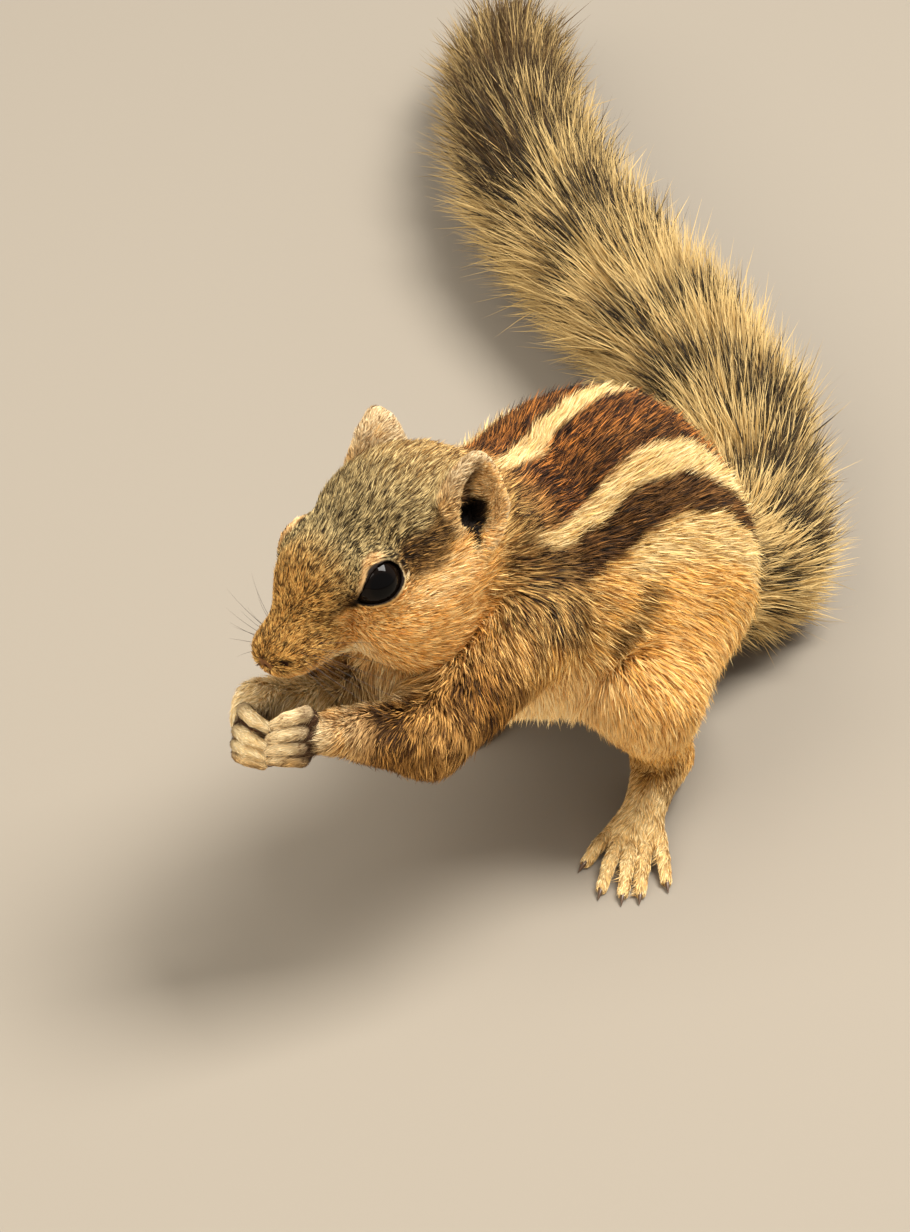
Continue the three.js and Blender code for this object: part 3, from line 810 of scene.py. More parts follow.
# Marks of the head: the fur, the paths it is laid along, where it starts to fade, where it ends,
# and its strength.
HEAD_MARKS = (
    ("mask", MASK_PATHS, 1.2, 3.0, 0.95),
    ("mask", [STREAK], 0.5, 1.9, 0.85),
    ("chin", [[(12.2, 3.6, -3.4), (13.5, 13, -2.6)]], 1.0, 4, 0.32),
    ("chin", [[(2.0, -14.0, -7.9), (5.8, -7.0, -9.0)]], 0.3, 1.2, 0.5),
    ("muzzle", [[(2.6, -14.6, -5.0), (5.2, -9.0, -5.2)]], 1.8, 3.6, 0.9),
    # Painted shade: black over and round the nostrils, past the opening that is cut.
    ("lid", [NOSTRIL], 0.35, 0.65, 1),
)

# Lines of painted shade in the ear's own frame: one along the inside behind the flap, one down the
# notch under the hole.
EAR_SHADE = [(0, -2.0, 0.8), (0, -1.7, 3.6), (0, -1.1, 5.6)]
EAR_NOTCH = [(0, -2.3, -2.5), (0, -1.7, -4.0), (0, -1.4, -5.8)]

# The fur and the reach of the cuff round each wrist. The right one is a pale cuff made wider and paler
# as painted light on the far wrist.
CUFFS_AND_PAINTED_LIGHT = {"left": ("cheek", 2.6), "right": ("chin", 10.5)}

# The bell that rounds off the corners between stations: its steps, how many to a side, its width.
EASE_STEP = 0.5
EASE_STEPS = 12
EASE_WIDTH = 2.5

# The middle of the body at y stations: x, z and half sizes across and up.
SPINE = np.array([
    (-17, -4.3, 58, 11.5, 11),
    (-4, -0.5, 45, 15.5, 17),
    (8, 0, 40, 18.5, 20.5),
    (19, 0, 39.5, 19, 22),
    (29, 0, 37, 18, 21.5),
    (36, 0, 29.5, 15.5, 18),
    (45, 0, 20, 12, 12),
])


def eased(value, stations, row):
    """The row's number at each value, with the corners between stations rounded off."""
    fine = np.arange(stations[0] - 8, stations[-1] + 8, EASE_STEP)
    reach = np.arange(-EASE_STEPS, EASE_STEPS + 1) * EASE_STEP / EASE_WIDTH
    bell = np.exp(-0.5 * reach**2)
    padded = np.pad(np.interp(fine, stations, row), EASE_STEPS, mode="edge")
    return np.interp(value, fine, np.convolve(padded, bell / bell.sum(), mode="valid"))


def around_body(points):
    """Angle in degrees from the top of the back, positive on the left."""
    x, z, across, up = (eased(points[:, 1], SPINE[:, 0], SPINE[:, n]) for n in (1, 2, 3, 4))
    return np.degrees(np.arctan2((points[:, 0] - x) / across, (points[:, 2] - z) / up))


class Paint:
    """A fur for each point: layers of the furs above, each laid over the last through a mask."""

    def __init__(self, count):
        self.rows = np.zeros((count, 11))

    def lay(self, fur, mask):
        main, dark, dark_share, pale, pale_share = FURS[fur]
        row = np.concatenate([colour(*main), colour(*dark), colour(*pale), [dark_share, pale_share]])
        self.rows += (row - self.rows) * np.clip(mask, 0, 1)[:, None]

    def mixture(self):
        """The main, dark and pale colours, and the shares of dark and of pale hairs."""
        rows = self.rows
        return rows[:, 0:3], rows[:, 3:6], rows[:, 6:9], rows[:, 9:10], rows[:, 10:11]


def markings(points, shares):
    """The fur at each point of the skin."""
    paint = Paint(len(points))
    paint.lay("buff", np.ones(len(points)))
    wobble = waves(points, 5.0, 21)
    paint_body(paint, points + 0.3 * wobble, shares, wobble)
    paint_limbs(paint, points, shares, wobble)
    paint_head(paint, points, shares, wobble)
    return paint


def paint_body(paint, points, shares, wobble):
    """Pale belly, brightened further as painted light, brown shoulders, dark streaks of painted shade
    before the thigh, and on the back three cream stripes between dark bands.
    """
    y = points[:, 1]
    angle = around_body(points)
    body = share_of(shares, "neck", "trunk", *both("thigh"), "tail")
    upper = share_of(shares, *both("upper_arm"))
    side = np.abs(angle)
    # A pale underside, painted brighter than its own colour as painted light from the floor.
    paint.lay("belly", ramp(side, 100, 150) * body)
    paint.lay("belly", ramp(35 - points[:, 2] - 0.2 * side / 10, 0, 9) * share_of(shares, "trunk"))
    rows = (*DORSAL, *LATERAL, DARK_EDGE, OUTER_WIDTH)
    stripes = [eased(y, STATIONS, row) for row in rows]
    dorsal, dorsal_half, lateral, lateral_half, dark_edge, outer = stripes
    off = np.abs(angle - dorsal)
    length = ramp(y, -9, -2)
    rear = 1 - ramp(y, 44, 52)
    shoulder = (1 - ramp(y, -4, 8)) * (body + upper)
    paint.lay("nape", shoulder * (1 - ramp(side + 8 * wobble[:, 2], 90, 118)))
    paint.lay("rust", ramp(y, -7, 4) * rear * body * (1 - ramp(off, lateral, lateral + 3)))
    middle = band(off, lateral - 14, 7, 5) * ramp(y, 4, 14) * (1 - ramp(y, 30, 40))
    paint.lay("chocolate", middle * body * 0.55)
    stripe = ramp(off, lateral, lateral + 2) * (1 - ramp(off, dark_edge - 2.5, dark_edge + 2))
    paint.lay("chocolate", stripe * ramp(y, -13, -4) * rear * body * (0.7 + 0.3 * ramp(y, -4, 4)))
    pale = ramp(off, dark_edge - 1.5, dark_edge + 1.5)
    pale = pale * (1 - ramp(off, dark_edge + outer, dark_edge + outer + 8))
    paint.lay("cream", pale * ramp(y, 4, 14) * rear * body * 0.9)
    # Painted shade: dark streaks where the locks fold in front of the thigh.
    fold_shade = 1 - ramp(from_segment(folded(points), *FOLD_SHADE), 1.5, 3.6)
    paint.lay("mask", fold_shade * body * 0.8)
    paint.lay("cream", band(off, lateral, lateral_half, 1.6) * length * rear * body)
    paint.lay("cream", band(angle, dorsal, dorsal_half, 1.6) * ramp(y, -11, -5) * rear * body)


def paint_limbs(paint, points, shares, wobble):
    for side, s in SIDES.items():
        paint_arm(paint, points, shares, wobble, side, s)
        paint_hand(paint, points, shares, wobble, side, s)
        paint_leg(paint, points, shares, wobble, side)


def arm_points(arm, *names):
    return [np.array(arm[name][0], float) for name in names]


def paint_arm(paint, points, shares, wobble, side, s):
    """Dark outside, dusky inside, and a cream line along the upper edge of the forearm."""
    elbow, wrist = arm_points(ARMS[side], "elbow", "wrist")
    down = 1 - ramp(np.linalg.norm(points - elbow, axis=1), 10, 24)
    outward = ramp(s * (points[:, 0] - elbow[0]) + 3 * wobble[:, 0], -6, 1)
    paint.lay("arm", share_of(shares, f"{side}_upper_arm") * down * (0.35 + 0.65 * outward))
    fore = share_of(shares, f"{side}_forearm")
    axis = unit(wrist - elbow)
    off = points - elbow
    off = normalised(off - (off @ axis)[:, None] * axis)
    paint.lay("arm", fore)
    paint.lay("dusk", fore * ramp(off @ unit((-s, 0.1, 0.1)), 0.1, 0.6))
    ridge = band(off @ unit((-0.75 * s, 0, 0.66)), 1.0, 0.24, 0.12)
    paint.lay("cream", fore * ridge * 0.8)


def paint_hand(paint, points, shares, wobble, side, s):
    """Pale fingers with painted shade in the creases between them and over the hollow of the palm, and
    a pale cuff round the wrist, made larger and paler on the right as painted light.
    """
    elbow, wrist = arm_points(ARMS[side], "elbow", "wrist")
    fore, hand = (share_of(shares, f"{side}_{name}") for name in ("forearm", "hand"))
    paint.lay("hand", hand)
    away = np.linalg.norm(points - wrist - unit(wrist - elbow) * 0.8, axis=1) + 0.6 * wobble[:, 1]
    # A pale cuff; on the right wrist it is also painted light, paler and wider, standing in for light
    # on the far forearm's end.
    fur, size = CUFFS_AND_PAINTED_LIGHT[side]
    paint.lay(fur, (fore + hand) * (1 - ramp(away, size - 1, size + 1.2)) * 0.9)
    low = ARMS[side]["knuckles"][1][2] + wobble[:, 0] - points[:, 2]
    paint.lay("muzzle", hand * ramp(low, -2.2, 0.2) * 0.8)
    heart, fingers = finger_joints(ARMS[side])
    near = np.min([along_path(points, joints[1:]) for joints in fingers], axis=0)
    # Painted shade: dark brown in the creases between the fingers and over the hollow of the palm.
    paint.lay("painted_shade", hand * ramp(near, 1.0, 1.22) * (1 - ramp(near, 2.4, 3.2)))
    palm = ramp(-s * (points[:, 0] - heart[0]), 0.6, 1.8) * ramp(near, 1.0, 1.5)
    paint.lay("painted_shade", hand * palm)


def paint_leg(paint, points, shares, wobble, side):
    """A pale foot and a dark patch in front of the ankle."""
    foot, shin = (share_of(shares, f"{side}_{name}") for name in ("foot", "shin"))
    ankle = np.array(LEGS[side]["ankle"][0], float)
    patch = from_segment(points, ankle + (1.5, -4, -2.5), ankle + (1.0, -3, 2.5))
    paint.lay("foot", foot * (1 - ramp(points[:, 2] + wobble[:, 2], 6.5, 9.5)))
    paint.lay("arm", (shin + foot) * 0.7 * (1 - ramp(patch + 0.8 * wobble[:, 0], 0.8, 5.2)))


def paint_head(paint, points, shares, wobble):
    """Grey-brown crown over buff cheeks, a tawny snout, pale chin, and the marks above."""
    q = folded(to_head(points) + 0.25 * wobble)
    side, y, z = q.T
    head = share_of(shares, "head", "ear")
    paint.lay("cheek", head)
    line = np.interp(y, *CROWN_LINE)
    above = ramp(z - line, -0.7, 0.8)
    paint.lay("crown", above * head)
    paint.lay("nape", ramp(y, 17, 24) * head * ramp(z - line, -4, 1))
    snout = (1 - ramp(y, -9, -1)) * above
    paint.lay("muzzle", snout * head)
    paint.lay("muzzle", (1 - ramp(y, -14.5, -12.5)) * (1 - ramp(-z, 7.4, 8.4)) * head)
    paint.lay("chin", ramp(-z, 8.8, 9.8) * (1 - ramp(side, 4, 7)) * (1 - ramp(y, -6, 4)) * head)
    for fur, paths, inner, outer, strength in HEAD_MARKS:
        away = np.min([along_path(q, path) for path in paths], axis=0)
        paint.lay(fur, (1 - ramp(away, inner, outer)) * head * strength)
    paint_eye(paint, q, head)
    paint_ear(paint, q, head, share_of(shares, "ear"))


def paint_eye(paint, q, head):
    """Dark lids, a pale brow over them, a pale line under them and a dark line at the front corner."""
    away, edge = off_eye(q), lid_edge(q)
    near = head * (1 - ramp(away, 1.6, 2.6))
    out, long, up = eye_axes()
    along, height = (q - EYE_AT) @ long, (q - EYE_AT) @ up
    brow = ramp(edge, 0.25, 0.5) * (1 - ramp(edge, 1.0, 1.6)) * ramp(height, -0.6, 0.6)
    paint.lay("brow", near * brow * (1 - ramp(along, 1.8, 3.2)) * ramp(along, -3.8, -2.4))
    line = ramp(edge, 0.3, 0.45) * (1 - ramp(edge, 0.6, 0.95)) * ramp(along, 0, 2)
    paint.lay("chin", near * line * ramp(-height, -0.8, 0.4) * 0.8)
    paint.lay("lid", head * (1 - ramp(away, 1.2, 1.8)) * (1 - ramp(edge, 0.3, 0.5)))
    corner = EYE_AT - 3.8 * long + 0.9 * out + 0.4 * up
    tear = from_segment(q, corner, corner - 2.4 * long - 0.5 * up)
    paint.lay("lid", head * (1 - ramp(tear, 0.35, 1.3)) * 0.85)


def paint_ear(paint, q, head, ear):
    """Pale hair over the ear and its flap, a lighter inside as painted light, painted shade behind the
    flap, and black painted shade over the hole and the notch under it.
    """
    local = (q - EAR_AT) @ EAR_TURN
    sheet = local * (0, 1, 1)
    flap = ear_flap_distance(local)
    on_flap = 1 - ramp(flap, 1.6, 2.3)
    paint.lay("ear", ramp(ear, 0.5, 0.75))
    paint.lay("ear", head * on_flap)
    reach = np.linalg.norm(local / EAR_SIZE, axis=1)
    inside = (1 - ramp(reach, 0.86, 0.95)) * ramp(flap, 1.3, 1.7)
    # The inside is painted lighter, painted light standing in for light through the thin ear.
    paint.lay("inner", inside * ramp(ear, 0.3, 0.6))
    # Painted shade on the inside wall just behind the flap.
    shade = 1 - ramp(along_path(sheet, EAR_SHADE), 0.4, 1.6)
    paint.lay("painted_shade", inside * shade * (1 - ramp(local[:, 0], 0, 1)) * 0.8)
    low = on_flap * (1 - ramp(local[:, 2], 0, 4.5))
    paint.lay("fuzz", head * low * 0.85)
    # Painted shade: black over the hole, wider than the hollow that is cut, and down the notch under
    # it.
    hole = np.linalg.norm((local - EAR_HOLE_AT) / (EAR_HOLE_SIZE + (0.8, 0.5, 0.2)), axis=1)
    notch = np.where(local[:, 0] > -2, along_path(sheet, EAR_NOTCH), FAR)
    dark = 1 - ramp(np.minimum(hole, notch / 0.65), 0.85, 1.1)
    paint.lay("lid", (head + ear).clip(0, 1) * dark)


def ear_flap_distance(local):
    return along_path(local, [point for point, _ in EAR_FLAP])


# ---------- Lie of the coat ----------

# Where the coat parts outward over the folded knee, on the left.
KNEE_AT = (18.5, 6.5, 34.0)


def lie_of_coat(points, normals, shares):
    """The way the hairs point at each place, along the skin."""
    q = to_head(points)
    back = q - (0, -21, -7)
    back[:, 2] -= 4 * ramp(np.abs(q[:, 0]), 4, 11)
    flow = (normalised(back) @ HEAD_TURN.T) * share_of(shares, "head", "ear")[:, None]
    flow += trunk_flow(points) * share_of(shares, "neck", "trunk")[:, None]
    down = 1 - ramp(points[:, 2], 26, 44)
    outward = 0.1 * down * np.sign(points[:, 0])
    thigh = np.stack([outward, 0.85 - 0.72 * down, -0.5 - 0.5 * down], 1)
    flow += normalised(thigh) * share_of(shares, *both("thigh"))[:, None]
    for side, s in SIDES.items():
        flow += limb_flow(points, shares, side, s)
    flow = turned_at_front(flow, points, normals, shares)
    flow += tail_frame(points)[1] * share_of(shares, "tail")[:, None]
    loose = 1 - 0.9 * share_of(shares, *both("hand"))[:, None]
    flow = normalised(flow) + loose * (0.16 * waves(points, 7.0, 5) + 0.10 * waves(points, 2.4, 6))
    return along_skin(flow, normals)


def along_skin(vectors, normals):
    """The vectors laid flat on the skin, each of length 1."""
    flat = vectors - normals * (vectors * normals).sum(1, keepdims=True)
    return normalised(flat)


def trunk_flow(points):
    """Hair runs back along the body and falls more steeply down its sides."""
    side = np.abs(around_body(points))
    fall = 0.15 + 0.55 * ramp(side, 40, 85) + 1.3 * ramp(side, 88, 125)
    trunk = normalised(np.stack([0 * side, 0 * side + 1, -fall], 1))
    chest = ramp(-points[:, 1], 2, 12) * ramp(side, 110, 150)
    return trunk + chest[:, None] * (0, 0.2, -1.2)


def turned_at_front(flow, points, normals, shares):
    """The flow turned downward where the skin faces forward, and outward over the knee."""
    away = np.linalg.norm(folded(points) - KNEE_AT, axis=1)
    knee = (1 - ramp(away, 5, 15))[:, None]
    facing = ramp(-normals[:, 1], 0.05, 0.6)[:, None] * (1 - 0.7 * knee)
    facing = facing * (1 - share_of(shares, "head", "ear", "tail", *both("hand")))[:, None]
    outward = np.sign(points[:, :1])
    falling = outward * (0.15, 0, 0) + (0, 0, -1)
    flow = flow + facing * (falling - 0.9 * flow * (1, 1, 0))
    return flow + 0.5 * knee * outward * (1, 0, 0)


def limb_flow(points, shares, side, s):
    """Hair falls down the outside of the arms and then towards the fingers, and down the legs."""
    arm, leg = ARMS[side], LEGS[side]
    shoulder, elbow, wrist = arm_points(arm, "shoulder", "elbow", "wrist")
    knuckles, tips = mid(*arm["knuckles"]), mid(*arm["tips"])
    palm, fingers = unit(knuckles - wrist), unit(tips - knuckles)
    curl = ramp((points - knuckles) @ palm, -1.5, 0.5)[:, None]
    total = (palm + (fingers - palm) * curl) * share_of(shares, f"{side}_hand")[:, None]
    links = [
        ("upper_arm", 0.4 * unit(elbow - shoulder) + (0.3 * s, 0, -0.75)),
        ("forearm", 0.8 * unit(wrist - elbow) + (0.1 * s, 0, -0.6)),
        ("shin", unit(np.array(leg["ankle"][0]) - leg["knee"][0]) + (0.15 * s, 0, -0.3)),
        ("foot", unit(on_foot(leg, s, (0, 12), 1.0) - leg["ankle"][0])),
    ]
    for name, heading in links:
        total += unit(heading) * share_of(shares, f"{side}_{name}")[:, None]
    return total


def tail_frame(points):
    """The nearest point of the tail's middle line, its heading, the plume's radius and the share
    of the tail's length there."""
    rows = np.array([point for point, _ in TAIL], float)
    radii = np.array([radius for _, radius in TAIL], float)
    lengths = np.linalg.norm(np.diff(rows, axis=0), axis=1)
    starts = np.concatenate([[0], np.cumsum(lengths)])
    headings = np.diff(rows, axis=0) / lengths[:, None]
    smooth = np.concatenate([headings[:1], normalised(headings[:-1] + headings[1:]), headings[-1:]])
    best = np.full(len(points), np.inf)
    near, heading = np.zeros_like(points), np.zeros_like(points)
    radius, share = np.zeros(len(points)), np.zeros(len(points))
    for n in range(len(lengths)):
        t = np.clip((points - rows[n]) @ headings[n] / lengths[n], 0, 1)
        spot = rows[n] + t[:, None] * (rows[n + 1] - rows[n])
        away = np.linalg.norm(points - spot, axis=1)
        closer = away < best
        best = np.where(closer, away, best)
        near[closer] = spot[closer]
        heading[closer] = (smooth[n] + t[:, None] * (smooth[n + 1] - smooth[n]))[closer]
        radius = np.where(closer, radii[n] + t * (radii[n + 1] - radii[n]), radius)
        share = np.where(closer, (starts[n] + t * lengths[n]) / starts[-1], share)
    return near, normalised(heading), radius, share


# ---------- Tufts ----------

# The side of the square of UV space that one tuft covers.
PATCH = 0.003

# For each part: tufts per square millimetre, their length, width and the height of their tips.
COAT = {
    "head": (36, 2.2, 0.18, 0.95),
    "neck": (22, 4.4, 0.24, 2.3),
    "trunk": (25, 4.6, 0.25, 2.7),
    "tail": (17, 15.0, 0.27, 9.0),
    "upper_arm": (20, 3.6, 0.23, 1.8),
    "forearm": (22, 2.9, 0.20, 1.4),
    "hand": (16, 1.5, 0.10, 0.13),
    "thigh": (20, 4.8, 0.23, 2.5),
    "shin": (22, 3.2, 0.22, 1.5),
    "foot": (20, 1.6, 0.13, 0.3),
    "ear": (22, 1.0, 0.13, 0.35),
}

# How wide the locks are that the tufts' tips draw together into, how far they draw together, how
# deep the roots start, and how dark the painted shade at the roots makes them.
HEAD_LOCK = 0.62
BODY_LOCK = 1.1
LOCK_PULL = 0.42
ROOT_DEPTH = 0.15
ROOT_SHADE = 0.42
LOWEST_HAIR = 0.08


def coat_measures(shares):
    """Density, length, width and height of the tufts at each point."""
    rows = [COAT[name.removeprefix("left_").removeprefix("right_")] for name in PART_NAMES]
    return (shares @ np.array(rows)).T


def blade_mesh(name, levels, side, widths, colours, spots, material):
    """One mesh of flat tapering blades. levels: (blades, levels, 3), the last level being the tip."""
    count, steps = levels.shape[:2]
    half = side[:, None] * widths[:, :, None] / 2
    pairs = np.stack([levels[:, :-1] - half, levels[:, :-1] + half], 2).reshape(count, -1, 3)
    points = np.concatenate([pairs, levels[:, -1:]], 1)
    each = points.shape[1]
    pattern = []
    for a in range(0, each - 3, 2):
        pattern += [(a, a + 1, a + 3), (a, a + 3, a + 2)]
    pattern.append((each - 3, each - 2, each - 1))
    faces = (np.arange(count)[:, None, None] * each + np.array(pattern)).reshape(-1, 3)
    tints = np.concatenate([np.repeat(colours[:, :-1], 2, axis=1), colours[:, -1:]], 1)
    across = np.array([-1.0, 1.0] * (steps - 1) + [0.0])
    along = np.array([n // 2 / (steps - 1) for n in range(each)])
    patch = np.stack([across * PATCH / 2, (along - 0.5) * PATCH], 1)
    places = (spots[:, None] + patch).reshape(-1, 2)
    mesh = mesh_of(name, points.reshape(-1, 3), faces, tints.reshape(-1, 3))
    uv = mesh.uv_layers.new(name="OFBake")
    uv.data.foreach_set("uv", places[faces.ravel()].astype(np.float32).ravel())
    return add_object(name, mesh, material)


def mesh_of(name, points, faces, tints=None):
    """A mesh in metres in the shared frame, from millimetres in the animal's own."""
    mesh = bpy.data.meshes.new(name)
    place = ((points + SHIFT) / 1000).astype(np.float32)
    mesh.vertices.add(len(place))
    mesh.vertices.foreach_set("co", place.ravel())
    sides = faces.shape[1]
    mesh.loops.add(faces.size)
    mesh.loops.foreach_set("vertex_index", faces.astype(np.int32).ravel())
    mesh.polygons.add(len(faces))
    mesh.polygons.foreach_set("loop_start", np.arange(0, faces.size, sides, dtype=np.int32))
    mesh.update(calc_edges=True)
    if tints is not None:
        layer = mesh.color_attributes.new("tint", "FLOAT_COLOR", "POINT")
        rgba = np.concatenate([tints, np.ones((len(tints), 1))], 1).astype(np.float32)
        layer.data.foreach_set("color", rgba.ravel())
    mesh.shade_smooth()
    return mesh


def add_object(name, data, material=None):
    thing = bpy.data.objects.new(name, data)
    bpy.context.scene.collection.objects.link(thing)
    if material:
        data.materials.append(material)
    return thing


def sow(points, faces, normals, per_mm2, keep):
    """Roots scattered evenly over the faces kept: face, position in it, place and normal."""
    quads = points[faces]
    spans = np.cross(quads[:, 2] - quads[:, 0], quads[:, 3] - quads[:, 1])
    area = np.linalg.norm(spans, axis=1) / 2
    wanted = np.where(keep, area * per_mm2, 0)
    counts = np.floor(wanted + RNG.random(len(faces))).astype(int)
    face = np.repeat(np.arange(len(faces)), counts)
    s, t = RNG.random(len(face)), RNG.random(len(face))
    weight = np.stack([(1 - s) * (1 - t), s * (1 - t), s * t, (1 - s) * t], 1)
    place = (quads[face] * weight[:, :, None]).sum(1)
    normal = normalised((normals[faces[face]] * weight[:, :, None]).sum(1))
    return face, weight, place, normal


def clumps(points, size, seed):
    """The nearest of a jittered set of centres to each point, and a random number for each."""
    cell = np.floor(points / size).astype(np.int64)
    best = np.full(len(points), np.inf)
    centre = np.zeros_like(points)
    tone = np.zeros(len(points))
    for n in range(27):
        near = cell + (n % 3 - 1, n // 3 % 3 - 1, n // 9 - 1)
        jitter = np.stack([hashed(near, seed + m) for m in range(3)], 1)
        spot = (near + jitter) * size
        away = ((points - spot) ** 2).sum(1)
        closer = away < best
        best[closer] = away[closer]
        centre[closer] = spot[closer]
        tone[closer] = hashed(near[closer], seed + 3)
    return centre, tone


def hashed(cells, seed):
    """A number from 0 to 1 for each cell, its bits scattered by large odd numbers."""
    x, y, z = cells.T
    mixed = x * 73856093 ^ y * 19349663 ^ z * 83492791 ^ seed * 2654435761
    mixed = (mixed ^ (mixed >> 13)) * 1274126177 & 0x7FFFFFFF
    mixed = (mixed ^ (mixed >> 16)) * 668265263 & 0x7FFFFFFF
    return mixed / 0x7FFFFFFF


def tuft_sizes(place, shares):
    """Length, width and height of each tuft: short round the snout, the eyes and low on the legs."""
    count = len(place)
    _, length, width, height = coat_measures(shares)
    q = folded(to_head(place))
    side, y, z = q.T
    head = share_of(shares, "head")
    snout = head * (1 - ramp(y, -12, 2))
    eye = head * (1 - ramp(off_eye(q), 1.0, 4.5))
    cheek = head * ramp(y, 0, 12) * ramp(side - 0.4 * z, 8, 12)
    level = place[:, 2] + 2 * np.minimum(place[:, 1] - 9, 0)
    low = share_of(shares, *both("thigh"), *both("shin")) * (1 - ramp(level, 9, 23))
    flap = head * (1 - ramp(ear_flap_distance((q - EAR_AT) @ EAR_TURN), 1.8, 2.6))
    length = length * ((1 - 0.55 * snout) * (1 - 0.5 * eye) * (1 + 0.5 * cheek))
    length = length * RNG.uniform(0.72, 1.2, count)
    width = width * (1 - 0.25 * snout) * RNG.uniform(0.8, 1.2, count)
    height = height * (1 - 0.45 * snout) * (1 - 0.6 * eye) * RNG.uniform(0.65, 1.15, count)
    height = height * np.where(RNG.random(count) < 0.08, 1.3, 1.0)
    height = height * (1 - 0.65 * low) * (1 - 0.6 * flap)
    length = length * (1 - 0.45 * low) * (1 - 0.5 * flap)
    return length, width, height


def body_tufts(volume, place, normal, shares, lock):
    """Blades that rise from the skin and lie back along it, in small locks."""
    length, width, height = tuft_sizes(place, shares)
    lie = lie_of_coat(place, normal, shares)
    loose = 1 - 0.5 * share_of(shares, *both("hand"))[:, None]
    lie = normalised(lie + 0.13 * RNG.normal(size=place.shape) * loose)
    lie = along_skin(lie, normal)
    centre, tone = clumps(place, lock, 31)
    neat = 1 - 0.85 * share_of(shares, *both("hand"), *both("foot"))[:, None]
    pull = LOCK_PULL * (centre - place) * neat
    pull -= lie * (pull * lie).sum(1, keepdims=True)
    root = place - ROOT_DEPTH * normal
    middle = place + lie * (0.5 * length)[:, None] + 0.35 * pull
    tip = place + lie * length[:, None] + pull
    middle = lift_to(volume, middle, 0.62 * height)
    tip = lift_to(volume, tip, height)
    return np.stack([root, middle, tip], 1), width, tone


def lift_to(volume, points, height):
    """The points moved along the field's slope until they are the given height over the skin."""
    for _ in range(2):
        slope = normalised(volume.slope(points))
        short = height - volume.sample(points)
        points = points + slope * np.clip(short, -6, 6)[:, None]
    return points


def blade_sides(levels, normal, spread):
    """The way each blade is broad: across its own lie, rolled at random by the spread."""
    lie = normalised(levels[:, -1] - levels[:, 0])
    side = normalised(np.cross(lie, normal))
    up = np.cross(side, lie)
    roll = RNG.normal(size=(len(lie), 1)) * spread
    return side * np.cos(roll) + up * np.sin(roll)


def tuft_colours(paint, place, tone):
    """A colour for each level of each tuft: roots darkened with painted shade, then two picks of the
    fur's three colours.
    """
    main, dark, pale, dark_share, pale_share = paint.mixture()
    count = len(tone)
    # The root level is painted shade: the main colour darkened as if shaded by the hairs round it.
    shades = [main * ROOT_SHADE]
    for cluster in (tone, clumps(place, 0.8, 61)[1]):
        pick = 0.42 * cluster + 0.58 * RNG.random(count)
        order = (np.argsort(np.argsort(pick)) / count)[:, None]
        tint = np.where(order < dark_share, dark, np.where(order > 1 - pale_share, pale, main))
        shades.append(tint * RNG.uniform(0.82, 1.18, (count, 1)))
    shades[2] = shades[2] * 0.7 + shades[1] * 0.3
    return np.stack(shades, 1)


# Shares of a tail hair's length where it has a level, and its width at each level but the tip.
TAIL_LEVELS = (0.3, 0.5, 0.72, 1.0)
TAIL_WIDTHS = np.array([0.9, 1, 0.9, 0.5])

# Along the tail, from root to end: how far the hairs rise from its line in degrees, what share of
# them is dark, and how bright they are.
TAIL_RISE = ([0, 0.12, 0.6, 0.9, 1], [26, 40, 42, 30, 14])
TAIL_DARK = ([0, 0.5, 0.8, 1], [0.45, 0.5, 0.66, 0.74])
TAIL_BRIGHT = ([0, 0.55, 1], [1, 0.85, 0.6])


def tail_tufts(place, normal):
    """Long hairs that stand out from the tail's core and sweep back along it, in locks."""
    count = len(place)
    near, heading, radius, share = tail_frame(place)
    centre, tone = clumps(place, 1.7, 47)
    outward = 0.5 * normalised(place - near) + 0.5 * normalised(centre - near)
    outward = along_skin(outward, heading)
    swing = 0.15 * RNG.normal(size=(count, 3)) + 0.10 * waves(place, 6, 8)
    rise = np.radians(np.interp(share, *TAIL_RISE) * RNG.uniform(0.78, 1.12, count))
    reach = np.maximum(radius - 2.0, 3) * (1.04 - 0.45 * RNG.random(count) ** 1.6)
    reach = reach * np.where(RNG.random(count) < 0.1, 1.18, 1.0)
    length = np.clip(reach / np.sin(rise), 6, 20) * np.interp(share, [0, 0.1], [0.5, 1])

    def way(bend, loose):
        angle = (rise * bend)[:, None]
        return normalised(outward * np.sin(angle) + heading * np.cos(angle) + swing * loose)

    start, end = way(1.25, 0.4), way(0.8, 1.0)
    pull = 0.35 * (centre - place)
    levels = [place - ROOT_DEPTH * normal]
    for t in TAIL_LEVELS:
        levels.append(place + (start + (end - start) * t) * (length * t)[:, None] + pull * t)
    levels = np.stack(levels, 1)
    levels[:, :, 2] = np.maximum(levels[:, :, 2], 0.15 + 0.25 * RNG.random((count, 1)))
    tone = 0.3 * tone + 0.7 * clumps(place, 4.2, 48)[1]
    return levels, share, tone, normalised(place - near)[:, 2]


